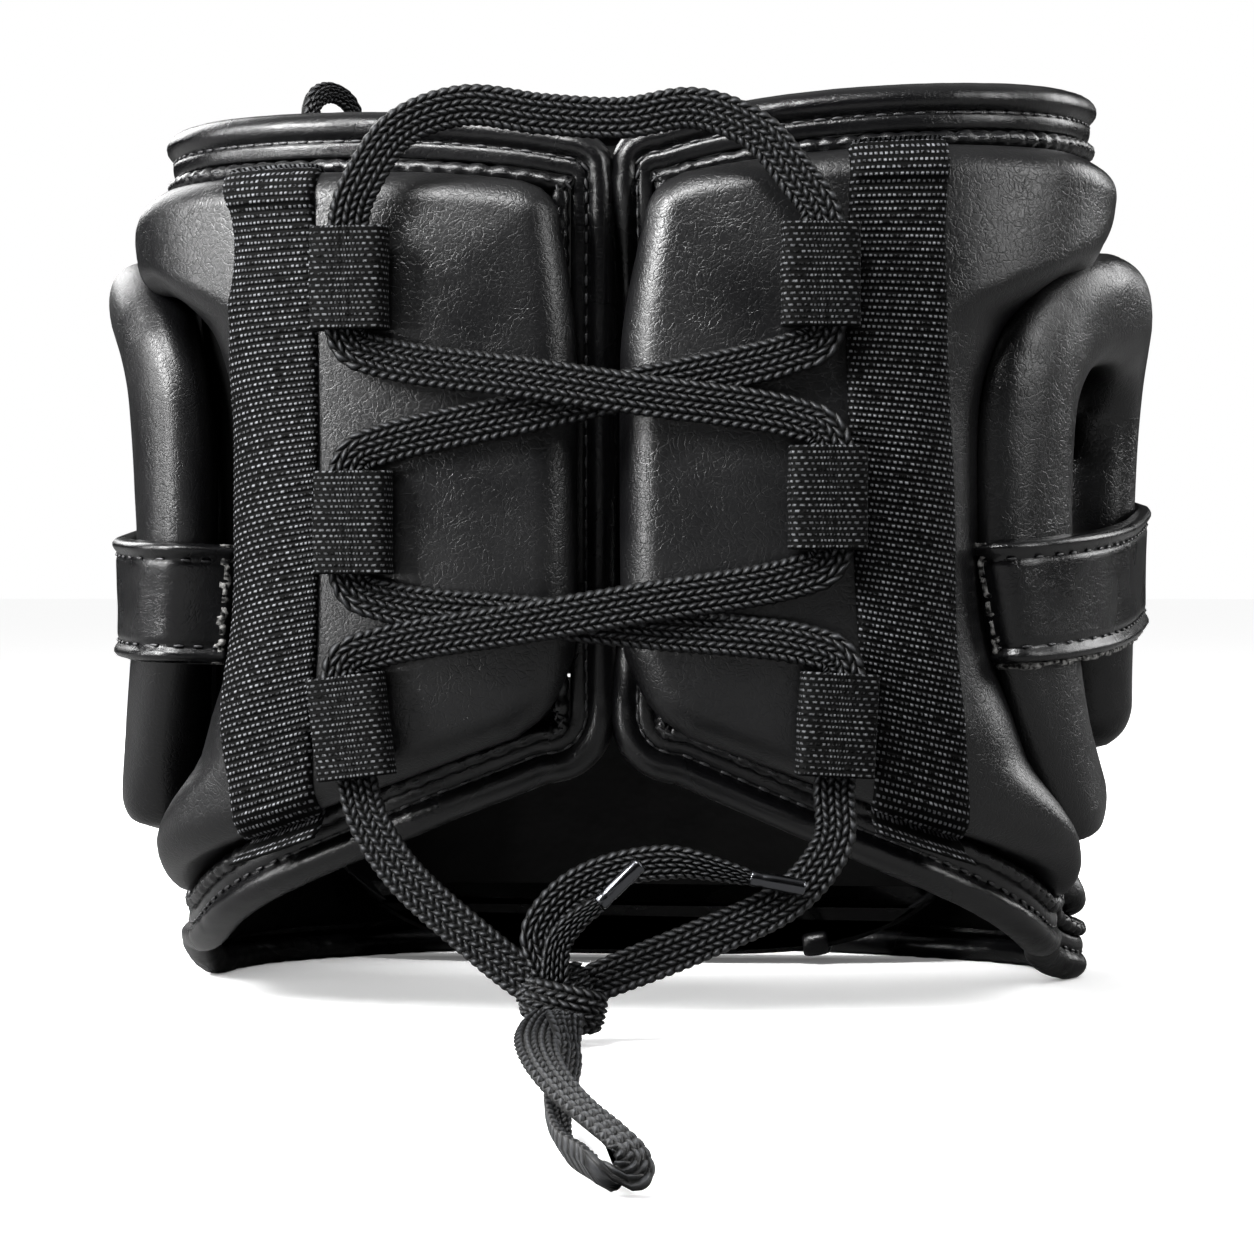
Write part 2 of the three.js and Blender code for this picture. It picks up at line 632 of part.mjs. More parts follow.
const slots = {};
for (const { name, x, z, roll } of LOOPS) {
  const pad = backPads[x < 0 ? 'left' : 'right'];
  const outer = new THREE.Shape(roundedSlot(LOOP.wide, LOOP.deep, 2.6).getPoints(2));
  const bore = roundedSlot(LOOP.wide - 2 * LOOP.wall, LOOP.deep - 2 * LOOP.wall, 1.4);
  outer.holes.push(new THREE.Path(bore.getPoints(1)));
  const geometry = new THREE.ExtrudeGeometry(outer, { depth: LOOP.tall, bevelEnabled: false });
  geometry.translate(0, 0, -LOOP.tall / 2);
  const angle = angleOnPad(pad, x, z);
  const reach = pad.face(angle, z);
  const seat = spot(angle, z, reach + LOOP.lift + LOOP.deep / 2);
  const outward = spot(angle, z, reach + 1).sub(spot(angle, z, reach));
  const loop = add(name, 'webbing', geometry);
  loop.position.copy(seat);
  loop.rotation.set(0, degToRad(roll), Math.atan2(outward.x, -outward.y), 'ZYX');
  const along = new THREE.Vector3(0, 0, LOOP.tall / 2 + 2.5).applyEuler(loop.rotation);
  slots[name] = { top: seat.clone().add(along), low: seat.clone().sub(along) };
}

// Chin strap and its keeper: a sling across the jaw, near the table, inside the chin.

const CHIN_STRAP = { y: 66, wide: 18, thick: 2.5, low: 2.4, rise: 20, clear: 1.9 };
const KEEPER = { share: 0.56, wide: 7, wall: 1.6, clear: 0.7, tilt: 9 };

// Half-width inside the lining at a depth and height.
function insideHalfWidth(y, z) {
  let near = 90;
  let far = 180;
  for (let step = 0; step < 30; step++) {
    const middle = (near + far) / 2;
    if (spot(middle, z, -LINING).y < y) near = middle;
    else far = middle;
  }
  return spot(near, z, -LINING).x;
}

const slingHalf = (y) => insideHalfWidth(y, CHIN_STRAP.low + CHIN_STRAP.rise) - CHIN_STRAP.clear;

function slingSection(share, across, lift) {
  const y = CHIN_STRAP.y + across * CHIN_STRAP.wide;
  const x = share * slingHalf(y);
  const rise = CHIN_STRAP.rise * (x / slingHalf(CHIN_STRAP.y)) ** 4;
  return new THREE.Vector3(x, y, CHIN_STRAP.low + rise + lift);
}

const slingRings = shares(16).map((share) => {
  const skin = (lift) => [-0.5, 0.5].map((across) => slingSection(2 * share - 1, across, lift));
  return [...skin(CHIN_STRAP.thick), ...skin(0).reverse()];
});
add('chin_strap', 'leather', loft(slingRings));

const keeperBore = roundedSlot(CHIN_STRAP.wide + 2 * KEEPER.clear, CHIN_STRAP.thick + 2 * KEEPER.clear, 1);
const keeperWall = 2 * (KEEPER.clear + KEEPER.wall);
const keeperOutline = roundedSlot(CHIN_STRAP.wide + keeperWall, CHIN_STRAP.thick + keeperWall, 2);
const keeperShape = new THREE.Shape(keeperOutline.getPoints(2));
keeperShape.holes.push(new THREE.Path(keeperBore.getPoints(1)));
const keeperRing = new THREE.ExtrudeGeometry(keeperShape, { depth: KEEPER.wide, bevelEnabled: false });
keeperRing.translate(0, 0, -KEEPER.wide / 2).rotateX(Math.PI / 2).rotateZ(Math.PI / 2);
const keeper = add('strap_keeper', 'leather', keeperRing);
keeper.position.copy(slingSection(KEEPER.share, 0, CHIN_STRAP.thick / 2));
keeper.rotation.y = degToRad(-KEEPER.tilt);

// Hanging loop: a cord sewn inside the left rim, standing up over it.

const HANG = { angle: -125, spread: 3.4, low: 190, high: 226, radius: 1.6, sides: 6, steps: 10 };
const hangPoints = [-1, -1, -0.75, 0, 0.75, 1, 1].map((side, i) => {
  const rise = [0, 0.75, 0.94, 1, 0.94, 0.75, 0][i];
  const place = spot(HANG.angle + side * HANG.spread, HANG.low, -LINING - HANG.radius - GAP - 1);
  return place.setZ(lerp(HANG.low, HANG.high, rise));
});
const hangCurve = new THREE.CatmullRomCurve3(hangPoints);
const hangTube = new THREE.TubeGeometry(hangCurve, HANG.steps, HANG.radius, HANG.sides);
const hangRings = Array.from({ length: HANG.steps + 1 }, (_, ring) => Array.from({ length: HANG.sides }, (_, i) => (
  new THREE.Vector3().fromBufferAttribute(hangTube.attributes.position, ring * (HANG.sides + 1) + i)
)));
add('hang_loop', 'lace', loft(hangRings));

// Lace: laced through the loops from the top bar down to a bow at the foot of the slit.

const LACE_SECTION = [
  { across: -0.5, up: 0 },
  { across: -0.36, up: 0.5 },
  { across: 0.36, up: 0.5 },
  { across: 0.5, up: 0 },
  { across: 0.36, up: -0.5 },
  { across: -0.36, up: -0.5 },
];

// Flat braid along rows of { x, y, z, tilt }; its face turns from the back (0) to the sky (90).
function braid(rows, stepsPerRow) {
  const curve = new THREE.CatmullRomCurve3(rows.map(({ x, y, z }) => new THREE.Vector3(x, y, z)));
  const last = rows.length - 1;
  const rings = Array.from({ length: last * stepsPerRow + 1 }, (_, i) => {
    const along = i / stepsPerRow;
    const row = Math.min(Math.floor(along), last - 1);
    const tilt = degToRad(lerp(rows[row].tilt ?? 0, rows[row + 1].tilt ?? 0, along - row));
    const face = new THREE.Vector3(0, -Math.cos(tilt), Math.sin(tilt));
    const run = curve.getTangent(along / last);
    const wide = run.clone().cross(face).normalize();
    const up = wide.clone().cross(run).normalize();
    const centre = curve.getPoint(along / last);
    return LACE_SECTION.map((corner) => centre.clone()
      .addScaledVector(wide, corner.across * LACE.wide)
      .addScaledVector(up, corner.up * LACE.thick));
  });
  return loft(rings);
}

const lacePoint = ({ x, y, z }) => ({ x, y, z });

// End of a strand on the knot, on the side that a direction from its middle points to.
function atKnot(x, y, z, tilt = 0, clear = GAP) {
  const reach = 1 / Math.hypot((2 * x) / KNOT.wide, (2 * y) / KNOT.deep, (2 * z) / KNOT.tall);
  const out = new THREE.Vector3(x, y, z).multiplyScalar(reach);
  out.setLength(out.length() + clear);
  return { x: KNOT.x + out.x, y: KNOT.y + out.y, z: KNOT.z + out.z, tilt };
}

const LACE_FACE = { front: -121.6, behind: -117.8 };
const ELBOW = { x: 7, z: 3.5 };

// Stretch from the foot of one loop to the head of another, in front of or behind the other strand.
function crossing(from, to, layer) {
  const start = slots[from].low;
  const end = slots[to].top;
  const side = Math.sign(end.x - start.x);
  const leave = { x: start.x + side * ELBOW.x, y: start.y, z: start.z - ELBOW.z };
  const arrive = { x: end.x - side * ELBOW.x, y: end.y, z: end.z + ELBOW.z };
  const middle = [0.38, 0.62].map((share) => ({
    x: lerp(leave.x, arrive.x, share),
    y: LACE_FACE[layer],
    z: lerp(leave.z, arrive.z, share),
  }));
  return [lacePoint(start), leave, ...middle, arrive, lacePoint(end)];
}

const TOP_BAR = [
  { x: -53, y: -116.8, z: 190 },
  { x: -45, y: -115, z: 201.6 },
  { x: -31, y: -113, z: 207.1 },
  { x: -13, y: -112, z: 205.2 },
  { x: 5, y: -112, z: 204.2 },
  { x: 21, y: -113, z: 206.1 },
  { x: 35, y: -115, z: 200.6 },
  { x: 44, y: -116.8, z: 190 },
];
const LEFT_TAIL = [
  atKnot(-7, 2.6, 3.2, 25),
  { x: -26, y: -127.5, z: 21.8 },
  { x: -43, y: -122, z: 36 },
  { x: -51, y: -118.5, z: 47 },
];
const RIGHT_TAIL = [
  { x: 52, y: -118.5, z: 44 },
  { x: 43, y: -122, z: 32 },
  { x: 23, y: -127.5, z: 22.4 },
  atKnot(7, 2.6, 3.2, 25),
];
const laceRows = [
  ...LEFT_TAIL,
  lacePoint(slots.lace_loop_left_3.low),
  ...crossing('lace_loop_right_2', 'lace_loop_left_3', 'front').reverse(),
  ...crossing('lace_loop_left_1', 'lace_loop_right_2', 'front').reverse(),
  lacePoint(slots.lace_loop_left_1.top),
  ...TOP_BAR,
  lacePoint(slots.lace_loop_right_1.top),
  ...crossing('lace_loop_right_1', 'lace_loop_left_2', 'behind'),
  ...crossing('lace_loop_left_2', 'lace_loop_right_3', 'behind'),
  lacePoint(slots.lace_loop_right_3.low),
  ...RIGHT_TAIL,
];
add('lace_laced', 'lace', braid(laceRows, 2));

const knotBall = new THREE.SphereGeometry(0.5, 10, 7).scale(KNOT.wide, KNOT.deep, KNOT.tall);
add('lace_knot', 'lace', fromSolid(toSolid(knotBall.rotateX(Math.PI / 2)))).position.set(KNOT.x, KNOT.y, KNOT.z);

const BOW = [
  atKnot(-4.4, -5, -1.5, 70, 1.4),
  { x: -12.8, y: -156, z: 2.8, tilt: 90 },
  { x: -9, y: -182, z: 5.2, tilt: 90 },
  { x: -3.5, y: -207, z: 5.8, tilt: 90 },
  { x: 4, y: -236, z: 5.2, tilt: 90 },
  { x: 14, y: -278, z: 2.2, tilt: 90 },
  { x: 21.5, y: -312, z: 2, tilt: 90 },
  { x: 24.5, y: -338, z: 2, tilt: 90 },
  { x: 17.5, y: -353, z: 2, tilt: 90 },
  { x: 10.5, y: -338, z: 2, tilt: 90 },
  { x: 7.5, y: -312, z: 2, tilt: 90 },
  { x: 2.5, y: -279, z: 2, tilt: 90 },
  { x: -2.5, y: -243, z: 2, tilt: 90 },
  { x: -4.5, y: -207, z: 2, tilt: 90 },
  { x: -2.5, y: -176, z: 2, tilt: 90 },
  { x: -1.5, y: -156, z: 2.6, tilt: 90 },
  atKnot(4.4, -5, -1.5, 70, 1.4),
];
add('lace_bow', 'lace', braid(BOW, 2));

const SHORT_END = [
  atKnot(-1.2, -4.2, 4.6, 10, 0.8),
  { x: -7, y: -139.5, z: 22.8 },
  { x: -3, y: -139, z: 27.6 },
  { x: 0.8, y: -138.6, z: 30.2 },
];
const LONG_END = [
  atKnot(-2.4, -0.6, 6),
  { x: -12, y: -134.6, z: 23.5 },
  { x: -10, y: -134.2, z: 28.5 },
  { x: -4.4, y: -133.5, z: 34 },
  { x: 5, y: -133, z: 38.2 },
  { x: 18, y: -132, z: 39.8 },
  { x: 27, y: -129.5, z: 38 },
  { x: 32.4, y: -127.5, z: 36.4 },
];
const AGLETS = [
  { name: 'short', rows: SHORT_END, tip: { x: 9.6, y: -138, z: 39 } },
  { name: 'long', rows: LONG_END, tip: { x: 44, y: -125.6, z: 34.2 } },
];
for (const { name, rows, tip } of AGLETS) {
  add(`lace_end_${name}`, 'lace', braid(rows, 2));
  const bore = wasm.Manifold.cylinder(2 * AGLET.deep, AGLET.bore, AGLET.bore, AGLET.sides)
    .translate([0, 0, AGLET.long - AGLET.deep]);
  const tube = wasm.Manifold.cylinder(AGLET.long, AGLET.radius, AGLET.radius, AGLET.sides).subtract(bore);
  const { x, y, z } = rows[rows.length - 1];
  const end = new THREE.Vector3(x, y, z);
  const axis = new THREE.Vector3(tip.x, tip.y, tip.z).sub(end).normalize();
  const aglet = add(`aglet_${name}`, 'aglet', fromSolid(tube));
  aglet.position.copy(end.addScaledVector(axis, LACE.thick / 2));
  aglet.quaternion.setFromUnitVectors(new THREE.Vector3(0, 0, 1), axis);
}

export default guard;
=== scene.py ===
# Boxing head guard with a laced back, in black leather, standing on its jaw rim.
# Lengths in the tables are millimetres; +Z is up, +Y towards the face, and the slit is at -Y.

import math

import bmesh
import bpy
import numpy as np
from mathutils import Matrix, Vector


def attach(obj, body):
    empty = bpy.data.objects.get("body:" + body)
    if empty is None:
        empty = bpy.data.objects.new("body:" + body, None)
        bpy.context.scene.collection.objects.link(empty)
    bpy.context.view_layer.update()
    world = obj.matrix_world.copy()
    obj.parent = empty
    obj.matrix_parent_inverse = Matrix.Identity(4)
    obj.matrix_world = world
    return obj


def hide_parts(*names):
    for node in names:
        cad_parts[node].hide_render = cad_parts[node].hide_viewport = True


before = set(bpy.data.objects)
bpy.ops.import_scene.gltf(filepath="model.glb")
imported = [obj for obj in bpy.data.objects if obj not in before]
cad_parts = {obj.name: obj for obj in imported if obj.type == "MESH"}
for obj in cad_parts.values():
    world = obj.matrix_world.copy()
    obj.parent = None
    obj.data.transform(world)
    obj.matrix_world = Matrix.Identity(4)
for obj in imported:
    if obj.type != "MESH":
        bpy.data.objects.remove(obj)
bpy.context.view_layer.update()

# Camera: a long lens held a hand's width above the table, a little to the right of the slit.
MM = 0.001
SENSOR = 36
FOCAL_PIXELS = 4050
PHOTO_PIXELS = 1254
eye = Vector((68.8, -1012.5, 100.0)) * MM
aim = Vector((-2.0, 0.0, 89.7)) * MM
lens = bpy.data.cameras.new("camera")
lens.sensor_width = SENSOR
lens.lens = SENSOR * FOCAL_PIXELS / PHOTO_PIXELS
camera = bpy.data.objects.new("camera", lens)
camera.location = eye
camera.rotation_euler = (aim - eye).to_track_quat("-Z", "Y").to_euler()
bpy.context.collection.objects.link(camera)
bpy.context.scene.camera = camera


# Studio: a white table under a broad soft light overhead, with softboxes behind the guard's back and at
# its sides, and weak fills before its face. The table is matt laminate that the camera sees glowing as
# bright as the background, with a painted contact shadow near the guard; other rays see a dim grey copy of
# it.
def linear(code):
    """Linear colour of an sRGB hex value."""
    parts = [int(code[i:i + 2], 16) / 255 for i in (1, 3, 5)]
    return [*(p / 12.92 if p <= 0.04045 else ((p + 0.055) / 1.055) ** 2.4 for p in parts), 1]


def put(tree, kind, settings=None, links=None):
    """Adds a node with its settings; each link is a value or another node's output."""
    node = tree.nodes.new("ShaderNode" + kind)
    for key, value in (settings or {}).items():
        setattr(node, key, value)
    for key, value in (links or {}).items():
        if isinstance(value, bpy.types.NodeSocket):
            tree.links.new(value, node.inputs[key])
        else:
            node.inputs[key].default_value = value
    return node


def blank_material(name):
    material = bpy.data.materials.new(name)
    material.use_nodes = True
    material.node_tree.nodes.clear()
    return material, material.node_tree


def to_mesh(bm, name):
    """Mesh of a bmesh, which is then freed."""
    mesh = bpy.data.meshes.new(name)
    bm.to_mesh(mesh)
    bm.free()
    return mesh


bpy.context.scene.view_settings.view_transform = "Standard"
world = bpy.data.worlds.new("studio")
world.use_nodes = True
bpy.context.scene.world = world
sky = world.node_tree
sky.nodes.clear()
ray = put(sky, "LightPath")
seen = put(sky, "Background", links={"Color": linear("#ffffff"), "Strength": 1.0})
room = put(sky, "Background", links={"Color": linear("#e9edf2"), "Strength": 0.012})
either = put(sky, "MixShader", links={
    0: ray.outputs["Is Camera Ray"], 1: room.outputs[0], 2: seen.outputs[0]})
put(sky, "OutputWorld", links={"Surface": either.outputs[0]})

white_laminate, tree = blank_material("white_laminate")
ray = put(tree, "LightPath")
lit = put(tree, "BsdfDiffuse", links={"Color": linear("#f0f0f0")})
# Painted contact shadow: the glow the camera sees is cut down where ambient occlusion finds the guard near.
near = put(tree, "AmbientOcclusion", links={"Distance": 0.14})
glow_with_painted_shadow = put(tree, "MapRange", links={"Value": near.outputs["AO"], "To Min": 0.1, "To Max": 0.78})
glow = put(tree, "Emission", links={"Color": linear("#ffffff"), "Strength": glow_with_painted_shadow.outputs["Result"]})
bright = put(tree, "AddShader", links={0: lit.outputs[0], 1: glow.outputs[0]})
# Dim grey copy of the table for every ray but the camera's: painted shade in what the leather reflects and in
# bounced light.
dim_copy_for_bounces = put(tree, "BsdfDiffuse", links={"Color": linear("#6e6e6e")})
either = put(tree, "MixShader", links={
    0: ray.outputs["Is Camera Ray"], 1: dim_copy_for_bounces.outputs[0], 2: bright.outputs[0]})
put(tree, "OutputMaterial", links={"Surface": either.outputs[0]})
TABLE_HALF = 30
bm = bmesh.new()
bmesh.ops.create_grid(bm, x_segments=1, y_segments=1, size=TABLE_HALF)
table_mesh = to_mesh(bm, "table_top")
table_mesh.materials.append(white_laminate)
table_top = bpy.data.objects.new("table_top", table_mesh)
bpy.context.collection.objects.link(table_top)

overhead = bpy.data.lights.new("overhead", "SUN")
overhead.energy = 0.6
overhead.angle = math.radians(100)
overhead_lamp = bpy.data.objects.new("overhead", overhead)
overhead_lamp.rotation_euler = (math.radians(-12), math.radians(-8), 0)
bpy.context.collection.objects.link(overhead_lamp)

SOFTBOXES = [
    ("key_left", (-1.15, -0.85, 0.95), (0.45, 0.7), 66, (-0.02, 0, 0.12)),
    ("key_high", (-0.35, -1.0, 1.7), (0.7, 0.5), 54, (-0.02, 0, 0.12)),
    ("side_right", (1.6, -0.5, 0.9), (0.4, 1.2), 18, (0.05, 0, 0.12)),
    ("low_left", (-1.0, -0.8, 0.09), (0.5, 0.1), 7, (0, 0, 0.02)),
    ("fill_left", (-1.1, 1.4, 1.0), (0.9, 0.9), 17, (0, 0, 0.12)),
    ("fill_right", (1.5, 1.1, 0.8), (0.9, 0.9), 17, (0, 0, 0.12)),
    ("side_left", (-1.8, -0.2, 0.7), (0.3, 1.3), 24, (-0.05, 0, 0.12)),
]
for name, place, size, power, target in SOFTBOXES:
    light = bpy.data.lights.new(name, "AREA")
    light.shape = "RECTANGLE"
    light.size, light.size_y = size
    light.energy = power
    lamp = bpy.data.objects.new(name, light)
    lamp.location = place
    lamp.rotation_euler = (Vector(target) - Vector(place)).to_track_quat("-Z", "Y").to_euler()
    bpy.context.collection.objects.link(lamp)

# Lace: one flat braid of black polyester, laced through six loops and tied in a single bow.
# Its strands show as slanting stitches in six columns, each the other way from the next.
LACE_WIDE = 8.8
LACE_THICK = 2.6
LACE_COLUMNS = 6
LACE_PITCH = 2.2
LACE_STEP = 0.4
LACE_RELIEF = 0.95
LACE_KNURL = 0.35


def mapped_mesh(name, across, along, place, flat=(1, 1)):
    """Grid of across by along faces, each vertex moved to place(u, v) in millimetres; flat is its UV size."""
    bm = bmesh.new()
    bmesh.ops.create_grid(bm, x_segments=across, y_segments=along, size=0.5)
    mesh = to_mesh(bm, name)
    grid = np.empty(3 * len(mesh.vertices), np.float32)
    mesh.vertices.foreach_get("co", grid)
    u = grid[0::3].astype(float) + 0.5
    v = grid[1::3].astype(float) + 0.5
    spots = np.stack(place(u, v), 1) * MM
    mesh.vertices.foreach_set("co", spots.astype(np.float32).ravel())
    corner = np.empty(len(mesh.loops), np.int32)
    mesh.loops.foreach_get("vertex_index", corner)
    unrolled = np.stack([u[corner] * flat[0], v[corner] * flat[1]], 1)
    mesh.uv_layers.new(name="UVMap").data.foreach_set("uv", unrolled.astype(np.float32).ravel())
    return mesh


def closed(name, meshes, weld=0.002):
    """One closed mesh from several, with doubles merged, holes filled and faces turned outwards."""
    bm = bmesh.new()
    for mesh in meshes:
        bm.from_mesh(mesh)
    bmesh.ops.remove_doubles(bm, verts=bm.verts, dist=weld * MM)
    rim = [edge for edge in bm.edges if edge.is_boundary]
    if rim:
        bmesh.ops.holes_fill(bm, edges=rim, sides=0)
    bmesh.ops.recalc_face_normals(bm, faces=bm.faces)
    whole = to_mesh(bm, name)
    for mesh in meshes:
        bpy.data.meshes.remove(mesh)
    return whole


def piece(mesh, material, slot, *nodes):
    """Object of a finished mesh, riding on the guard in place of its CAD nodes."""
    mesh.materials.append(material)
    mesh.polygons.foreach_set("use_smooth", [True] * len(mesh.polygons))
    obj = bpy.data.objects.new(mesh.name, mesh)
    bpy.context.collection.objects.link(obj)
    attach(obj, "root")
    if nodes:
        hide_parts(*nodes)
    return obj


def smooth_curve(rows, steps=24):
    """Points on the curve through rows of numbers, with places shared out evenly by chord length."""
    rows = np.array(rows, float)
    ends = np.vstack([2 * rows[0] - rows[1], rows, 2 * rows[-1] - rows[-2]])
    share = np.linspace(0, 1, steps, endpoint=False)[:, None]
    out = []
    for p0, p1, p2, p3 in zip(ends, ends[1:], ends[2:], ends[3:]):
        d0, d1, d2 = (max(np.linalg.norm((b - a)[:3]), 1e-6) ** 0.5
                      for a, b in ((p0, p1), (p1, p2), (p2, p3)))
        leave = d1 * ((p1 - p0) / d0 - (p2 - p0) / (d0 + d1) + (p2 - p1) / d1)
        reach = d1 * ((p2 - p1) / d1 - (p3 - p1) / (d1 + d2) + (p3 - p2) / d2)
        bend2 = -3 * p1 + 3 * p2 - 2 * leave - reach
        bend3 = 2 * p1 - 2 * p2 + leave + reach
        out.append(p1 + leave * share + bend2 * share ** 2 + bend3 * share ** 3)
    return np.vstack([*out, rows[-1:]])


def even(points, step):
    """Points spaced evenly along a line of points, and the distance of each from its start."""
    gone = np.concatenate([[0], np.cumsum(np.linalg.norm(np.diff(points[:, :3], axis=0), axis=1))])
    reach = np.linspace(0, gone[-1], max(int(gone[-1] / step), 2) + 1)
    return np.stack([np.interp(reach, gone, column) for column in points.T], 1), reach


def unit(vectors):
    return vectors / np.maximum(np.linalg.norm(vectors, axis=1, keepdims=True), 1e-9)


def ease(value, low, high):
    """Share from 0 to 1, smooth at both ends, as a value goes from low to high."""
    share = np.clip((value - low) / (high - low), 0, 1)
    return share * share * (3 - 2 * share)


def nearest(share, last):
    """Number of the row nearest to a share of the way to the last."""
    return np.rint(share * last).astype(int)


def signed_power(value, power):
    return np.sign(value) * np.abs(value) ** power


def bunched(share):
    """Shares from 0 to 1 drawn together towards both ends."""
    return (1 - np.cos(np.pi * share)) / 2


def braid_mesh(name, points, reach, face, half, thick, front=30, under=4):
    """Flat braid along points; its stitches stand up on the side that face points to."""
    run = unit(np.gradient(points, axis=0))
    wide = unit(np.cross(run, face))
    up = np.cross(wide, run)
    last = len(points) - 1
    split = front / (front + under)

    def place(u, v):
        i = nearest(v, last)
        top = u < split + 1e-6
        across = np.where(top, 2 * u / split - 1, 1 - 2 * (u - split) / (1 - split))
        across = np.clip(across, -1, 1)
        column = np.minimum((across + 1) / 2 * LACE_COLUMNS, LACE_COLUMNS - 1e-6)
        inside = column - np.floor(column)
        odd = np.floor(column) % 2
        beat = reach[i] / LACE_PITCH + (0.5 - odd) * (inside - 0.5) + 0.5 * odd
        bead = np.sin(np.pi * inside) ** 0.55 * np.abs(np.sin(np.pi * beat)) ** 0.75
        body = thick[i] / 2 * np.sqrt(1 - np.abs(across) ** 3.5)
        low_edge = np.minimum(1, 6 * (1 - np.abs(across)))
        rise = np.where(top, body + LACE_RELIEF * (bead - 0.7) * low_edge, -body)
        knurl = LACE_KNURL * np.abs(np.sin(np.pi * reach[i] / LACE_PITCH)) * ease(np.abs(across), 0.7, 1)
        spread = across * half[i] + np.sign(across) * knurl
        return (points[i] + wide[i] * spread[:, None] + up[i] * rise[:, None]).T

    flat = (LACE_COLUMNS / split, reach[-1] / LACE_PITCH)
    return closed(name, [mapped_mesh("braid", front + under, last, place, flat)])


def lace_strand(name, rows, half=None, stretch=None):
    """Flat braid through rows of x, y, z, its face's tilt from the back to the sky, and its lean aside.

    half is a table of its half-width along the way, stretch of how much longer its stitches are drawn.
    """
    points, reach = even(smooth_curve([(*row, 0, 0)[:5] for row in rows]), LACE_STEP)
    length = reach[-1]
    if stretch:
        drawn = np.diff(reach) / np.interp(reach[1:] / length, *stretch)
        beats = np.concatenate([[0], np.cumsum(drawn)])
        reach = np.linspace(0, beats[-1], int(beats[-1] / LACE_STEP) + 1)
        points = np.stack([np.interp(reach, beats, column) for column in points.T], 1)
    tilt, lean = np.radians(points[:, 3:5]).T
    face = np.stack([np.sin(lean), -np.cos(lean) * np.cos(tilt), np.cos(lean) * np.sin(tilt)], 1)
    wide = np.full(len(points), LACE_WIDE / 2) if half is None else np.interp(reach / reach[-1], *half)
    thick = LACE_THICK * (1 + 0.35 * (1 - 2 * wide / LACE_WIDE))
    return braid_mesh(name, points[:, :3], reach, face, wide, thick), points[:, :3] * MM, length * MM


def sums(tree, operation, *values):
    return put(tree, "Math", {"operation": operation}, dict(enumerate(values))).outputs[0]


def specks(tree, where, scale, detail=2.0, distortion=0.0):
    """Noise fixed to the object."""
    return put(tree, "TexNoise", links={
        "Vector": where["Object"], "Scale": scale, "Detail": detail, "Distortion": distortion}).outputs["Fac"]


def remap(tree, value, from_min=0.0, from_max=1.0, to_min=0.0, to_max=1.0):
    """Value moved from one range into another, and kept inside it."""
    return put(tree, "MapRange", links={
        "Value": value, "From Min": from_min, "From Max": from_max,
        "To Min": to_min, "To Max": to_max}).outputs["Result"]


def ramp(tree, share, dark, light, low=0.0, high=1.0):
    """Colour that goes from one sRGB value to another as a share goes from low to high."""
    node = put(tree, "ValToRGB", links={"Fac": share})
    for stop, place, code in zip(node.color_ramp.elements, (low, high), (dark, light)):
        stop.position = place
        stop.color = linear(code)
    return node.outputs["Color"]


def bump(tree, height, strength, distance, under=None):
    """Normal raised by a height, over another normal if there is one."""
    links = {"Height": height, "Strength": strength, "Distance": distance}
    if under is not None:
        links["Normal"] = under
    return put(tree, "Bump", links=links).outputs["Normal"]


def surface(tree, colour, roughness, normal=None, specular=0.5, metallic=0.0):
    """Principled surface joined to the material's output."""
    links = {"Base Color": colour, "Roughness": roughness, "Metallic": metallic,
             "Specular IOR Level": specular}
    if normal is not None:
        links["Normal"] = normal
    shader = put(tree, "BsdfPrincipled", links=links)
    put(tree, "OutputMaterial", links={"Surface": shader.outputs[0]})


# Braided polyester: dull black filament with random paler flecks of fibre; each stitch is painted a little
# lighter, a painted sheen, and the gaps between are painted dark, a painted shade.
braided_polyester, tree = blank_material("braided_polyester")
where = put(tree, "TexCoord").outputs
across, beats, _ = put(tree, "SeparateXYZ", links={0: where["UV"]}).outputs
inside = sums(tree, "FRACT", across)
odd = sums(tree, "MODULO", sums(tree, "FLOOR", across), 2.0)
lean = sums(tree, "MULTIPLY_ADD", odd, -1.0, 0.5)
slant = sums(tree, "MULTIPLY", lean, sums(tree, "SUBTRACT", inside, 0.5))
beat = sums(tree, "ADD", sums(tree, "ADD", beats, slant), sums(tree, "MULTIPLY", odd, 0.5))
ridge = sums(tree, "SINE", sums(tree, "MULTIPLY", inside, math.pi))
stitch = sums(tree, "ABSOLUTE", sums(tree, "SINE", sums(tree, "MULTIPLY", beat, math.pi)))
bead = sums(tree, "POWER", sums(tree, "MULTIPLY", ridge, stitch), 0.8)
flecks = specks(tree, where, 900.0, 3.0)
# Painted sheen on the stitches and painted shade in the gaps between them, mixed with the fibre flecks.
painted_stitch_shade = sums(tree, "MULTIPLY", bead, sums(tree, "MULTIPLY_ADD", flecks, 0.9, 0.5))
weave = bump(tree, bead, 0.9, 0.0006)
surface(tree, ramp(tree, painted_stitch_shade, "#020202", "#303133", 0.38, 0.95),
        remap(tree, flecks, to_min=0.4, to_max=0.6), bump(tree, flecks, 0.3, 0.0002, weave), specular=0.25)

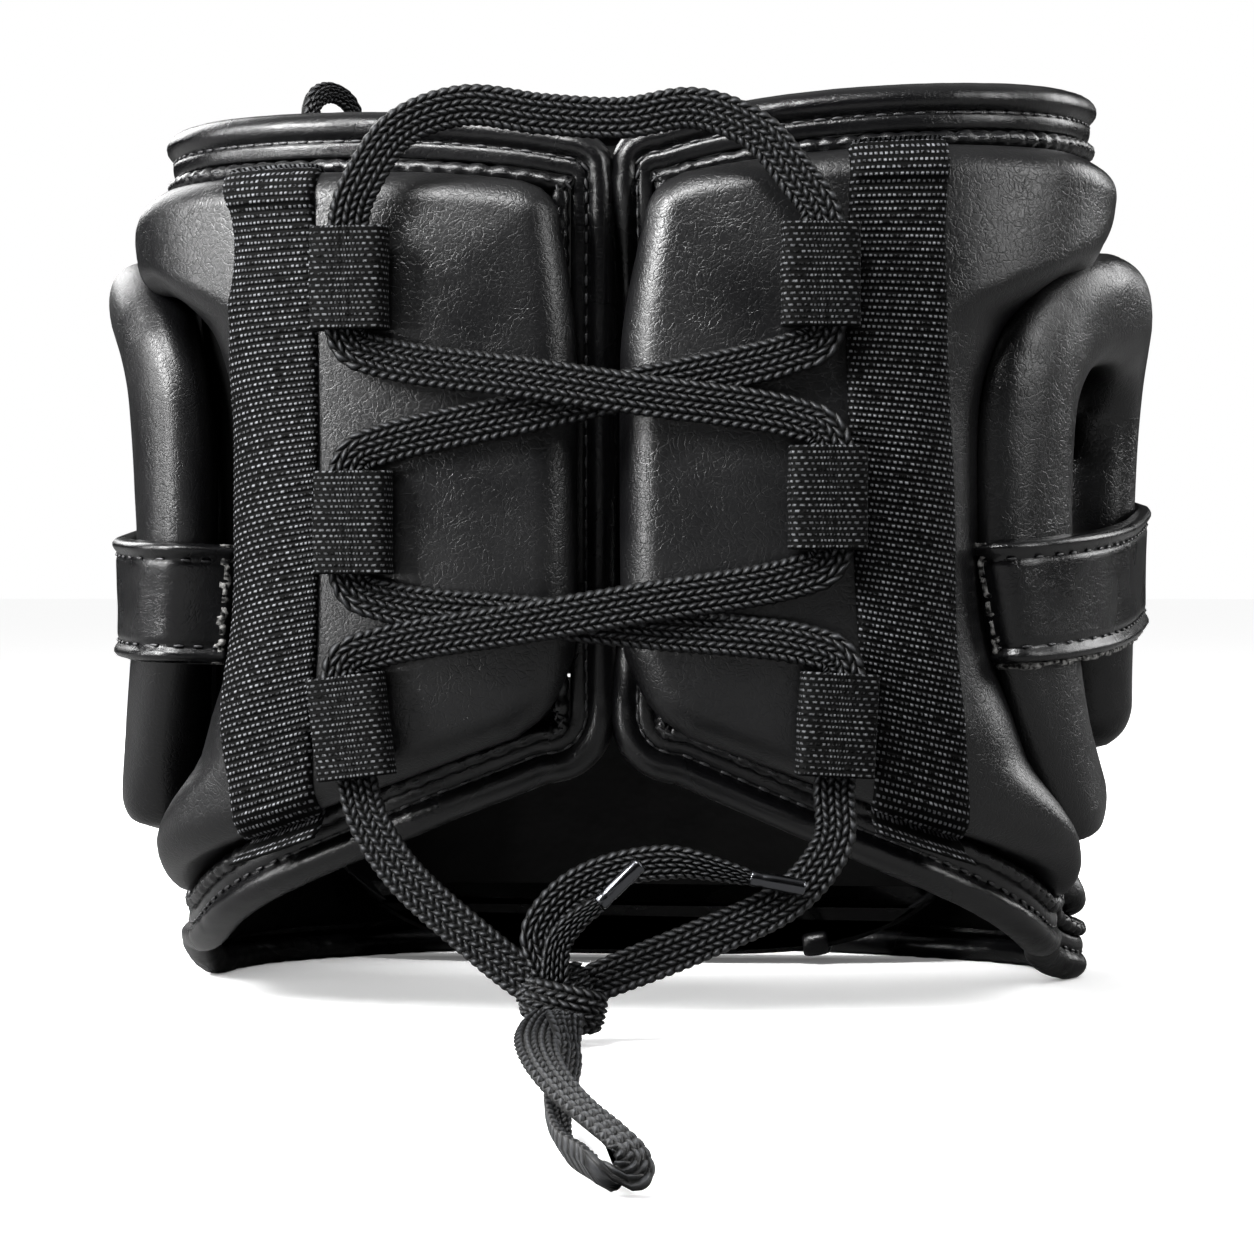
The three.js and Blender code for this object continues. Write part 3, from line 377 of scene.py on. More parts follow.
LACED = [
    (-9, -132.5, 10.5, 25), (-13.6, -131.5, 12.9, 25), (-26, -127.5, 21.8), (-43, -122, 36),
    (-51, -118.5, 47), (-53.7, -117.1, 54.7), (-57.1, -116.4, 82.5), (-50.1, -116.4, 86),
    (-14.4, -121.6, 92.1), (8.1, -121.6, 95.9), (43.7, -117.8, 102), (50.7, -117.8, 105.5),
    (50.7, -117.8, 133.5), (43.7, -117.8, 137), (8.6, -121.6, 142.3), (-13.6, -121.6, 145.7),
    (-48.8, -116.6, 151), (-55.8, -116.6, 154.5), (-55.8, -116.6, 182.5), (-53, -116.8, 190),
    (-45, -115, 201.6), (-31, -113, 207.1), (-13, -112, 205.2), (5, -112, 204.2), (21, -113, 206.1),
    (35, -115, 200.6), (44, -116.8, 190), (49.1, -117.6, 182.7), (49.1, -117.6, 154.7),
    (42.1, -117.6, 151.2), (7.9, -117.8, 143.8), (-13.7, -117.8, 139), (-47.9, -117.1, 131.6),
    (-54.9, -117.1, 128.1), (-54.9, -117.1, 100.1), (-47.9, -117.1, 96.6), (-12, -117.8, 92.9),
    (10.7, -117.8, 90.5), (46.5, -117.1, 86.8), (53.5, -117.1, 83.3), (52.1, -117.3, 55.3),
    (52, -118.5, 44), (43, -122, 32), (23, -127.5, 22.4), (0, -131.5, 13.2, 25),
    (-5, -132.5, 10.5, 25),
]
BOW = [
    (-8, -137, 7, 60, 4), (-8.6, -152, 7.2, 80, 6), (-8.1, -173.1, 7.5, 90, 8),
    (-4.4, -219.8, 9.2, 90, 12), (2.8, -273.7, 10.4, 90, 14), (10.3, -309.1, 9.8, 90, 14),
    (17.2, -333, 8.8, 90, 14), (21.8, -346, 7.2, 90, 20), (23.2, -353, 5.6, 80, 36),
    (21.6, -356, 4.8, 75, 46), (18.6, -354.5, 4.5, 80, 54), (16.2, -347, 4.4, 90, 58),
    (11.5, -331.6, 4.4, 90, 58), (6.6, -298.8, 4.4, 90, 58), (3.3, -261.1, 4.4, 90, 58),
    (1.2, -224, 4.6, 90, 56), (-0.6, -194.3, 5.4, 90, 50), (-3.2, -170.3, 6.4, 88, 40),
    (-4.9, -150, 6.8, 80, 20), (-5.6, -137, 7, 60, 0),
]
BOW_HALF = ([0, 0.5, 0.6, 1], [4.4, 4.4, 4.1, 4.1])
BOW_STRETCH = ([0, 0.1, 0.25, 0.38, 0.46, 0.54, 0.62, 0.75, 0.9, 1], [3, 5, 4.2, 3, 2, 2, 3, 4.2, 5, 3])
SHORT_END = [(-8.1, -138.6, 14.6, 10), (-7, -139.5, 22.8), (-3, -139, 27.6), (1.6, -138.5, 31)]
LONG_END = [
    (-9.3, -134.6, 15.9), (-12, -134.6, 23.5), (-10, -134.2, 28.5), (-4.4, -133.5, 34),
    (5, -133, 38.2), (18, -132, 39.8), (27, -129.5, 38), (33.6, -127.3, 36.2),
]
SHORT_HALF = ([0, 0.5, 1], [3.0, 2.6, 1.6])
LONG_HALF = ([0, 0.7, 1], [3.8, 3.6, 1.6])
laced_mesh, laced_path, laced_length = lace_strand("laced_braid", LACED)
lace_laced = piece(laced_mesh, braided_polyester, "lace", "lace_laced")
bow_mesh, bow_path, bow_length = lace_strand("bow_braid", BOW, BOW_HALF, BOW_STRETCH)
lace_bow = piece(bow_mesh, braided_polyester, "lace", "lace_bow")
short_mesh, _, _ = lace_strand("short_end_braid", SHORT_END, SHORT_HALF)
lace_end_short = piece(short_mesh, braided_polyester, "lace", "lace_end_short")
long_mesh, long_path, long_length = lace_strand("long_end_braid", LONG_END, LONG_HALF)
lace_end_long = piece(long_mesh, braided_polyester, "lace", "lace_end_long")

# Knot: the lace wrapped round its own strands, a broad turn in front over a narrower one.
KNOT = (-6.8, -134, 9.6)
KNOT_TURNS = [((0.4, -1.2, -0.6), (8.2, 6.2), 12, 4.9), ((-1.8, 0.4, 2.2), (7.0, 4.8), -28, 4.0)]
turns = []
for shift, (broad, deep), lean, half in KNOT_TURNS:
    angle = np.linspace(0, 2 * np.pi, 120)
    sin, cos = np.sin(angle), np.cos(angle)
    ring = np.stack([broad * sin, deep * cos, 0.5 * (angle / np.pi - 1)], 1)
    outward = np.stack([deep * sin, broad * cos, 0 * angle], 1)
    tip = np.array(Matrix.Rotation(math.radians(lean), 3, "Y"))
    line, gone = even(np.hstack([ring @ tip.T, unit(outward) @ tip.T]), LACE_STEP)
    middle = line[:, :3] + np.array(KNOT) + np.array(shift)
    face = line[:, 3:]
    wide = half * (0.78 + 0.22 * np.abs(unit(face)[:, 1]))
    turns.append(braid_mesh("turn", middle, gone, face, wide, np.full(len(line), LACE_THICK)))
lace_knot = piece(closed("knot_wraps", turns, 0.001), braided_polyester, "lace", "lace_knot")

# Aglets: nickel-plated steel tubes crimped round the ends of the lace, open at the tip.
# Plating over drawn tube gives a dark mirror with fine draw lines along it.
nickel_plate, tree = blank_material("nickel_plate")
marks = specks(tree, put(tree, "TexCoord").outputs, 420.0, 4.0)
surface(tree, linear("#515255"), remap(tree, marks, to_min=0.12, to_max=0.28), metallic=1.0)
AGLET = [
    (0, 0.2), (1.45, 0), (1.78, 0.35), (1.8, 1.8), (1.66, 2.3), (1.66, 2.9), (1.8, 3.4), (1.8, 11.9),
    (1.66, 12.4), (1.4, 12.5), (1.12, 12.3), (1.08, 9.5), (0, 9.4),
]
AGLET_PLACES = {
    "short": ((1.7, -138.5, 31.1), (8.8, 0.6, 8.8)),
    "long": ((33.7, -127.3, 36.2), (11.6, 1.9, -2.2)),
}
aglets = {}
for name, (foot, way) in AGLET_PLACES.items():
    bm = bmesh.new()
    corners = [bm.verts.new((radius * MM, 0, along * MM)) for radius, along in AGLET]
    edges = [bm.edges.new(pair) for pair in zip(corners, corners[1:])]
    bmesh.ops.spin(bm, geom=corners + edges, cent=(0, 0, 0), axis=(0, 0, 1), angle=2 * math.pi, steps=28,
                   use_merge=True)
    bmesh.ops.remove_doubles(bm, verts=bm.verts, dist=1e-6)
    turn = Vector((0, 0, 1)).rotation_difference(Vector(way)).to_matrix().to_4x4()
    bmesh.ops.transform(bm, matrix=Matrix.Translation(Vector(foot) * MM) @ turn, verts=bm.verts)
    bmesh.ops.recalc_face_normals(bm, faces=bm.faces)
    tube = to_mesh(bm, f"nickel_aglet_{name}")
    aglets[name] = piece(tube, nickel_plate, "aglet", f"aglet_{name}")
    aglets[name].modifiers.new("edge", "BEVEL").width = 0.00012

# Lining: the inner wall, soft split leather over thin foam, sewn to the rolled edges all round.
# The face and ear openings are cut through it. WAIST, CROWN and JAW give a height, then the half-width
# and the depth to the back and to the face there; ARC is about one degree's length round the lining.
WAIST = (94, 100, 97, 106.3)
CROWN = (214, 111, 95, 105.3)
JAW = (0, 104, 92, 103.3)
ARC = 1.8
BACK_POWER, FACE_POWER = 3.5, 2.4
FLARE_LEFT, FLARE_RIGHT = 8.5, 9.5


def fold(angle):
    """Size of an angle from the slit, up to 180, and the side it lies on: -1 left, 1 right."""
    turned = np.mod(np.asarray(angle, float) + 180, 360) - 180
    return np.abs(turned), np.where(turned < 0, -1, 1)


def flare(angle, z):
    """How far the jaw corner turns out near the table: wide on the left, further forward on the right."""
    size, side = fold(angle)
    left = FLARE_LEFT * (1 - ease(z, 8, 46)) * ease(size, 56, 92) * (1 - ease(size, 110, 138))
    right = FLARE_RIGHT * (1 - ease(z, 8, 34)) * ease(size, 92, 106) * (1 - ease(size, 118, 140))
    return np.where(side < 0, left, right)


def spot(angle, z, offset):
    """Place at an angle round the head from the slit, a height and an offset out from the lining."""
    angle, z, offset = np.broadcast_arrays(angle, z, offset)
    above = z > WAIST[0]
    share = ((z - WAIST[0]) / (np.where(above, CROWN[0], JAW[0]) - WAIST[0])) ** 2
    width, back, front = (low + share * (np.where(above, top, jaw) - low)
                          for low, top, jaw in zip(WAIST[1:], CROWN[1:], JAW[1:]))
    sin, cos = np.sin(np.radians(angle)), np.cos(np.radians(angle))
    depth = np.where(cos > 0, back, front)
    power = np.where(cos > 0, BACK_POWER, FACE_POWER)
    reach = (np.abs(sin / width) ** power + np.abs(cos / depth) ** power) ** (-1 / power)
    x, y = reach * sin, -reach * cos
    offset = offset + flare(angle, z)
    lean_x = signed_power(x, power - 1) / width ** power
    lean_y = signed_power(y, power - 1) / depth ** power
    steep = np.hypot(lean_x, lean_y)
    return x + lean_x / steep * offset, y + lean_y / steep * offset, z * 1.0


def noise(x, y, seed):
    """Smooth bumps from -1 to 1, one to a unit, always the same for a seed."""
    x, y = np.broadcast_arrays(np.asarray(x, float), np.asarray(y, float))
    col, row = np.floor(x), np.floor(y)

    def knot(right, up):
        return np.modf(np.sin((col + right) * 127.1 + (row + up) * 311.7 + seed * 74.7) * 43758.5453)[0]

    fx, fy = ((f := value - base) * f * (3 - 2 * f) for value, base in ((x, col), (y, row)))
    low = knot(0, 0) * (1 - fx) + knot(1, 0) * fx
    return low * (1 - fy) + (knot(0, 1) * (1 - fx) + knot(1, 1) * fx) * fy


FLOOR_ROLL = 3
HEM_AT_SLIT, HEM_SLOPE, HEM_LEVEL = 66.3, 0.8, 13.5


def hem_base(angle):
    """Height of the rolled hem: down from the slit to the ear, level under it, then down to the table."""
    size, _ = fold(angle)
    slope = HEM_AT_SLIT - HEM_SLOPE * size
    high = (slope + HEM_LEVEL + np.hypot(slope - HEM_LEVEL, 4)) / 2
    return high + (FLOOR_ROLL - high) * ease(size, 80, 104)


# Split leather: matt black with a short nap and soft wrinkles. Its colour is painted darker than the outer
# leather as painted shade inside the guard, and darker still where the folds dip, a painted shade in the
# wrinkles.
split_leather, tree = blank_material("split_leather")
where = put(tree, "TexCoord").outputs
folds_and_painted_shade = specks(tree, where, 70.0, 3.0)
nap = specks(tree, where, 620.0, 5.0)
# Painted shade: the colour is kept near black and is darkest in the dips of the folds.
surface(tree, ramp(tree, folds_and_painted_shade, "#010101", "#030303"), remap(tree, folds_and_painted_shade, to_min=0.55, to_max=0.75),
        bump(tree, nap, 0.3, 0.0003, bump(tree, folds_and_painted_shade, 0.3, 0.002)), specular=0.08)

LINING_VOXEL = 0.0024
STRAIGHT_SLOPE = 0.69
bm = bmesh.new()
bm.from_mesh(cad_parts["lining"].data)
bmesh.ops.remove_doubles(bm, verts=bm.verts, dist=1e-6)
rough = to_mesh(bm, "lining_rough")
wall = bpy.data.objects.new("lining_rough", rough)
bpy.context.collection.objects.link(wall)
voxels = wall.modifiers.new("foam", "REMESH")
voxels.mode = "VOXEL"
voxels.voxel_size = LINING_VOXEL
soft_wall = bpy.data.meshes.new_from_object(wall.evaluated_get(bpy.context.evaluated_depsgraph_get()))
soft_wall.name = "lining_leather"
bpy.data.objects.remove(wall)
bm = bmesh.new()
bm.from_mesh(soft_wall)
for _ in range(4):
    bmesh.ops.smooth_vert(bm, verts=bm.verts, factor=0.5, use_axis_x=True, use_axis_y=True, use_axis_z=True)
bm.to_mesh(soft_wall)
bm.free()
spots = np.empty((len(soft_wall.vertices), 3), np.float32)
soft_wall.vertices.foreach_get("co", spots.ravel())
facing = np.empty_like(spots)
soft_wall.vertices.foreach_get("normal", facing.ravel())
radial = unit(spots[:, :2])
inside = ease(-np.sum(radial * facing[:, :2], 1), 0.3, 0.6)
around = np.degrees(np.arctan2(spots[:, 0], -spots[:, 1]))
sag = 0.9 * noise(around / 16, spots[:, 2] / MM / 40, 3) - 0.3
spots[:, :2] -= radial * (inside * sag * MM)[:, None]
straight = HEM_AT_SLIT - STRAIGHT_SLOPE * np.abs(around)
straight += (FLOOR_ROLL - straight) * ease(np.abs(around), 58, 78)
spots[:, :2] += radial * (flare(around, spots[:, 2] / MM) * MM)[:, None]
spots[:, 2] += (hem_base(around) - straight) * (1 - ease(spots[:, 2] / MM, 10, 90)) * MM
soft_wall.vertices.foreach_set("co", spots.ravel())
soft_wall.materials.clear()
piece(soft_wall, split_leather, "lining", "lining")

# Rolled edges: leather folded round a cord and sewn down, along the crown, the slit and the hem.
# A flat lip lies beside each roll, and a gathered welt beyond it where the pads are sewn in.
SLIT_HALF_GAP = 5
SLIT_ANGLE = SLIT_HALF_GAP / ARC
TOP_CORNER = 9
LOW_CORNER = 13
CROWN_HEIGHT, CROWN_TILT, BROW_RISE, SLIT_DIP, DIP_WIDE = 207.5, 4.5, 20, 13, 16
FRONT_END = 179.98


def crown_base(angle):
    """Height of the crown: it dips at the slit, rises to the brow and is higher on the right."""
    size, side = fold(angle)
    dip = SLIT_DIP * np.exp(-size / DIP_WIDE)
    tilt = side * CROWN_TILT * np.sin(np.radians(size))
    return CROWN_HEIGHT + tilt + BROW_RISE * ease(size, 60, 180) - dip


def beside_rim(base, sign, corner, angle, inset):
    """Height of a line that keeps a distance from a rim, measured square to it."""
    size, side = fold(angle)
    rise = base(side * (size + 1.5)) - base(side * np.maximum(size - 1.5, 0))
    from_slit = (size - SLIT_ANGLE) * ARC - inset
    radius = np.maximum(corner - inset, 0)
    inside = np.clip(radius - from_slit, 0, radius)
    drop = radius - np.sqrt(radius ** 2 - inside ** 2)
    return base(angle) + sign * (inset * np.hypot(1, rise / (3 * ARC)) + drop)


def crown_line(angle, inset=0):
    return beside_rim(crown_base, -1, TOP_CORNER, angle, inset)


def hem_line(angle, inset=0):
    return beside_rim(hem_base, 1, LOW_CORNER, angle, inset)


def shell_line(angle, z, step):
    """Even line on the lining from rows of angle and height: columns angle, z, run along and run up."""
    path = np.stack(spot(angle, z, 0), 1)
    gone = np.concatenate([[0], np.cumsum(np.linalg.norm(np.diff(path, axis=0), axis=1))])
    reach = np.linspace(0, gone[-1], int(gone[-1] / step) + 1)
    angle, z = np.interp(reach, gone, angle), np.interp(reach, gone, z)
    run = unit(np.stack([np.gradient(angle) * ARC, np.gradient(z)], 1))
    return np.stack([angle, z, run[:, 0], run[:, 1]], 1), reach


def beside_line(line, i, out, up, side=1):
    """Places beside rows i of a line on the lining: out across it, up off the lining."""
    angle, z, run_on, run_up = line[i].T
    return spot(side * (angle + run_up * out / ARC), np.maximum(z - run_on * out, 0.05), up)


def rim_line(side, step):
    """Line of the rolled edge of one half, from the face over the crown, down the slit and along the hem."""
    arc = np.linspace(0, np.pi / 2, 40)
    top = SLIT_ANGLE + TOP_CORNER / ARC
    low = SLIT_ANGLE + LOW_CORNER / ARC
    crown = np.linspace(FRONT_END, top, 500)[:-1]
    hem = np.linspace(low, FRONT_END, 500)[1:]
    high = crown_line(side * top) - TOP_CORNER * (1 - np.cos(arc))
    foot = hem_line(low) + LOW_CORNER * (1 - np.cos(arc))
    angle = np.concatenate([crown, SLIT_ANGLE + TOP_CORNER * (1 - np.sin(arc)) / ARC,
                            (SLIT_ANGLE + LOW_CORNER * (1 - np.sin(arc)) / ARC)[::-1], hem])
    z = np.concatenate([crown_line(side * crown), high, foot[::-1], hem_line(hem)])
    return shell_line(angle, z, step)


# Grain leather: black, finished satin; it shows a fine net of creases and takes soft broad highlights.
def grain_leather(name, dark, light, smoothness, crackle):
    material, tree = blank_material(name)
    where = put(tree, "TexCoord").outputs
    bend = put(tree, "TexNoise", links={"Vector": where["Object"], "Scale": 170.0, "Detail": 3.0})
    pushed = put(tree, "VectorMath", {"operation": "MULTIPLY_ADD"}, {
        0: bend.outputs["Color"], 1: (0.007, 0.007, 0.007), 2: where["Object"]})
    net = put(tree, "TexVoronoi", {"feature": "DISTANCE_TO_EDGE"}, {
        "Vector": pushed.outputs["Vector"], "Scale": 560.0})
    line = remap(tree, net.outputs["Distance"], from_max=0.12)
    ripple = specks(tree, where, 760.0, 2.0, 1.2)
    hair = remap(tree, sums(tree, "ABSOLUTE", sums(tree, "SUBTRACT", ripple, 0.5)), from_max=0.06)
    patch = specks(tree, where, 34.0)
    broken = remap(tree, specks(tree, where, 240.0), 0.3, 0.62, 0.4)
    first = bump(tree, line, sums(tree, "MULTIPLY", broken, crackle), 0.00014)
    second = bump(tree, hair, 0.2, 0.0001, first)
    third = bump(tree, specks(tree, where, 1500.0), 0.12, 0.0002, second)
    gloss = remap(tree, patch, 0.3, 0.7, smoothness - 0.05, smoothness + 0.06)
    surface(tree, ramp(tree, patch, dark, light), gloss, third, specular=0.45)
    return material


pad_leather = grain_leather("grain_leather", "#040405", "#080809", 0.33, 0.32)
edge_leather = grain_leather("edge_leather", "#030304", "#070708", 0.27, 0.2)

# Rolled edge, lip and its underside, as out from the rim and up off the lining.
ROLL = [
    (-7.5, 1.1), (-7.35, 1.8), (-6.7, 2.1), (-5.5, 2.2), (-4.3, 2.0), (-3.5, 1.3), (-2.7, 2.0), (-1.2, 2.9),
    (0.6, 2.7), (2.3, 1.2), (3.3, -1.2), (2.9, -3.8), (1.2, -5.6), (-0.9, -6.0), (-2.7, -4.9), (-3.3, -3.4),
    (-3.4, -1.0), (-3.6, 0.6), (-5.2, 0.8), (-6.8, 0.75),
]
ROLL_FACES = 40
ring = smooth_curve(ROLL[-2:] + ROLL + ROLL[:3], 8)[16:16 + 8 * len(ROLL)]
ring = ring[np.linspace(0, len(ring), ROLL_FACES + 1)[:-1].astype(int)]
STITCH_PITCH = 4.6
STITCH = (2.9, 0.75, 0.6)


def add_stitches(bm, places, runs, ups, size=STITCH):
    """Short stitches of thread: rounded beads of a few faces, sunk a little at both ends."""
    for place, run, up in zip(places, runs, ups):
        along = Vector(run).normalized()
        across = Vector(up).cross(along).normalized()
        rise = along.cross(across)
        frame_of = Matrix((along * size[0], across * size[1], rise * size[2])).transposed().to_4x4() * MM
        frame_of[3][3] = 1
        frame_of.translation = Vector(place) * MM
        bmesh.ops.create_uvsphere(bm, u_segments=6, v_segments=4, radius=0.5, matrix=frame_of)


def stitch_line(bm, line, reach, out, up, side):
    """Row of stitches beside a line on the lining; out and up may differ along it."""
    last = len(line) - 1
    out, up = (value + np.zeros(len(line)) for value in (out, up))
    count = int(reach[-1] / STITCH_PITCH)
    i = nearest((np.arange(count) + 0.5) / count, last)
    before, here, after = (
        np.stack(beside_line(line, np.clip(i + k, 0, last), out[i], up[i], side), 1) for k in (-1, 0, 1))
    outward = np.stack(beside_line(line, i, out[i], up[i] + 1, side), 1) - here
    add_stitches(bm, here, after - before, outward)


# Bonded thread: waxed black polyester, a little lighter and shinier than the leather.
bonded_thread, tree = blank_material("bonded_thread")
twist = specks(tree, put(tree, "TexCoord").outputs, 1300.0)
surface(tree, ramp(tree, twist, "#161617", "#38383a"), 0.42)

SIDES = (("left", -1), ("right", 1))
REACH_OVER = {"left": 4.0, "right": 1.0}
SLIT_DEEP = {"left": 0.0, "right": 8.0}
CROWN_LIFT = 1.8
WELT_OUT, WELT_UP, WELT_RADIUS = 9.9, 2.0, 2.1


def slit_share(line):
    """Share from 0 to 1 of a rim line's rows that lie along the slit between the pads."""
    return (1 - ease(line[:, 0], 4, 11)) * ease(line[:, 1], 72, 100) * (1 - ease(line[:, 1], 165, 192))


def hem_share(line):
    """Share from 0 to 1 of a rim line's rows that lie along the hem."""
    return ease(line[:, 2], 0.2, 0.8) * (1 - ease(line[:, 0], 60, 75))


def crown_share(line):
    """Share from 0 to 1 of a rim line's rows that lie along the crown."""
    return ease(-line[:, 2], 0.2, 0.8) * ease(line[:, 1], 150, 180)


for name, side in SIDES:
    line, reach = rim_line(side, 1.0)
    line[:, 0] -= REACH_OVER[name] / ARC * (1 - ease(line[:, 0], SLIT_ANGLE + 2, 24))
    last = len(line) - 1
    seed = 5 + side

    def roll_place(u, v):
        i = nearest(v, last)
        j = nearest(u, len(ring)) % len(ring)
        out, up = ring[j].T
        on_roll = ease(out, -3.6, -1.8)
        s = reach[i]
        bent = np.interp(line[i, 1], [4, 12, 60, 80], [1.0, 0.4, 0.3, 0.3])
        fine = noise(s / 1.9 + 0.3 * j, up / 3.2, seed) + 0.6 * noise(s / 4.3, up / 4, seed + 9)
        pinch = np.minimum(0, noise(s / 3.1, 0.35 * up, seed + 2) + 0.35)
        swell = 1 + on_roll * bent * (0.035 * fine + 0.11 * pinch)
        wave = (1 - on_roll) * 0.1 * noise(s / 6, out / 5, seed + 4)
        out = out * swell + CROWN_LIFT * crown_share(line[i])
        up = -1.6 + (up + 1.6) * swell + wave - SLIT_DEEP[name] * slit_share(line[i])
        return beside_line(line, i, out, up, side)

    roll = mapped_mesh("roll", len(ring), last, roll_place, (22, reach[-1]))
    piece(closed(f"rolled_edge_{name}", [roll]), edge_leather, "leather", f"edge_roll_{name}")

    def welt_place(u, v):
        i = nearest(v, last)
        turn = 2 * np.pi * u
        s = reach[i]
        gather = np.abs(np.sin(np.pi * s / STITCH_PITCH)) ** 0.6
        puff = 0.74 + 0.3 * gather + 0.13 * noise(s / 1.3, 1.5 * np.cos(turn), seed + 6)
        out = -WELT_OUT + CROWN_LIFT * crown_share(line[i]) + 1.6 * hem_share(line[i])
        out = out - WELT_RADIUS * np.cos(turn) * puff
        return beside_line(line, i, out, WELT_UP + WELT_RADIUS * np.sin(turn) * puff, side)

    welt = mapped_mesh("welt", 14, last, welt_place, (9, reach[-1]))
    piece(closed(f"gathered_welt_{name}", [welt]), edge_leather, "leather")
    bm = bmesh.new()
    high, low = crown_share(line), hem_share(line)
    stitch_line(bm, line, reach, -3.7 + CROWN_LIFT * high, 1.75 - SLIT_DEEP[name] * slit_share(line), side)
    stitch_line(bm, line, reach, -10.6 + 2.9 * high + 2.7 * low, 3.9, side)
    piece(to_mesh(bm, f"edge_stitches_{name}"), bonded_thread, "leather")

# Face roll: the same folded edge round the opening for the face, with no lip.
FACE_HALF_ANGLE, FACE_LOW, FACE_HIGH, FACE_CORNER, FACE_RADIUS = 27, 80, 152, 22, 4.3
quarter = np.linspace(0, np.pi / 2, 24)
right, low, high = FACE_HALF_ANGLE * ARC - FACE_CORNER, FACE_LOW + FACE_CORNER, FACE_HIGH - FACE_CORNER
outline = np.concatenate([
    np.stack([x + FACE_CORNER * np.cos(quarter + start), z + FACE_CORNER * np.sin(quarter + start)], 1)
    for x, z, start in ((right, high, 0), (-right, high, np.pi / 2), (-right, low, np.pi),
                        (right, low, 1.5 * np.pi))])
outline = np.vstack([outline, outline[:1]])
line, reach = shell_line(180 - outline[:, 0] / ARC, outline[:, 1], 1.0)
line[[0, -1], 2:] = unit(line[:1, 2:] + line[-1:, 2:])
last = len(line) - 1


def face_place(u, v):
    i = nearest(v, last) % last
    turn = 2 * np.pi * u
    radius = FACE_RADIUS * (1 + 0.03 * noise(reach[i] / 2.4, 2 * np.cos(turn), 21))
    return beside_line(line, i, radius * np.cos(turn), radius * np.sin(turn) - 2.5)


piece(closed("face_edge", [mapped_mesh("face", 20, last, face_place, (20, reach[-1]))]),
      edge_leather, "leather", "face_roll")

# Back pads: thick moulded foam under leather, from the slit round behind the ear and over it.
# The leather is drawn down to a seam all round, and stands over the slit on its inner side.
PAD_MARGIN = 11
PAD_ROUNDING = 8.0
PAD_SEAT = 0.55
PAD_POWER = 2.2
PAD_BACK, PAD_EAR_LESS, PAD_FACE_MORE = 18, 6, 4
PAD_SLIT = SLIT_ANGLE + PAD_MARGIN / ARC
SLIT_OVERHANG = {"left": 12.0, "right": 14.0}
CROWN_OVERHANG = 3.6
HEM_OVERHANG = 4.0
LEAST_OVERHANG = 4.5
SLIT_DECAY, RIM_DECAY = 22, 16
EAR_SAG = 8
BACK_ROWS = [
    (4, 74), (1.8, 72), (0.6, 67), (0, 61), (0, 53), (0, 47.8), (0, 47.6), (0, 47.6), (0, 50),
    (0, 56), (0, 64), (0, 73), (0, 83), (0, 94), (0, 104), (0, 106), (0.6, 107), (1.8, 108), (4, 108),
]
EAR_TOP = 181
LOW_LEVEL = 98


def back_levels(angle):
    """Heights of the rows of a back pad at each angle, from hem to crown."""
    hem = hem_line(angle, PAD_MARGIN)
    crown = crown_line(angle, PAD_MARGIN)
    ear = np.minimum(EAR_TOP, crown - 16)
    over_ear = [ear + (crown - 10 - ear) * share for share in (0.25, 0.5, 0.75)]
    even_rows = [LOW_LEVEL + (ear - LOW_LEVEL) * share for share in (0, 0.22, 0.48, 0.7, 0.87, 1)]
    return np.stack([hem, hem + 2, hem + 5, hem + 11, (hem + 11) * 0.55 + LOW_LEVEL * 0.45,
                     *even_rows, *over_ear,
                     crown - 10, crown - 6, crown - 3, crown - 1, crown])


def back_place(u, v, side):
    """Angle and height at shares u along a row and v up the rows of a back pad."""
    row = v * (len(BACK_ROWS) - 1)
    low = np.minimum(np.floor(row).astype(int), len(BACK_ROWS) - 2)
    rows = smooth_curve([(k, start, end) for k, (start, end) in enumerate(BACK_ROWS)], 12)
    rows[:, 2] -= 0.8 * (side > 0)
    start = PAD_SLIT + np.interp(row, rows[:, 0], rows[:, 1])
    end = np.interp(row, rows[:, 0], rows[:, 2])
    knee = 38 + 0.35 * np.maximum(end - 50, 0)
    share = bunched(u)
    turn = np.where(share < 0.55, start + (knee - start) * share / 0.55,
                    knee + (end - knee) * (share - 0.55) / 0.45)
    levels = back_levels(side * turn)
    pick = np.arange(len(turn))
    z = levels[low, pick] + (levels[low + 1, pick] - levels[low, pick]) * (row - low)
    return side * turn, z


def pad_thickness(angle):
    """Thickness of the pads: full at the back, thin over the ear, thicker again at the face."""
    size, _ = fold(angle)
    return PAD_BACK - PAD_EAR_LESS * ease(size, 50, 75) + PAD_FACE_MORE * ease(size, 110, 140)


def edge_distance(points, outline):
    """Distance of each point from a line of points, both as distance round the head and height."""
    best = np.full(len(points), np.inf)
    for start, end in zip(outline, outline[1:]):
        way = end - start
        share = np.clip((points - start) @ way / max(way @ way, 1e-9), 0, 1)
        best = np.minimum(best, np.linalg.norm(points - start - share[:, None] * way, axis=1))
    return best


pad_seams, pad_ears = {}, {}
for name, side in SIDES:
    shares = np.linspace(0, 1, 120)
    around = [(1 - shares, np.zeros(120)), (np.zeros(120), shares), (shares, np.ones(120))]
    angle, z = (np.concatenate(column) for column in zip(*(back_place(u, v, side) for u, v in around)))
    pad_seams[name] = np.stack([angle * ARC, z], 1)
    angle, z = back_place(np.ones(120), shares, side)
    pad_ears[name] = np.stack([angle * ARC, z], 1)


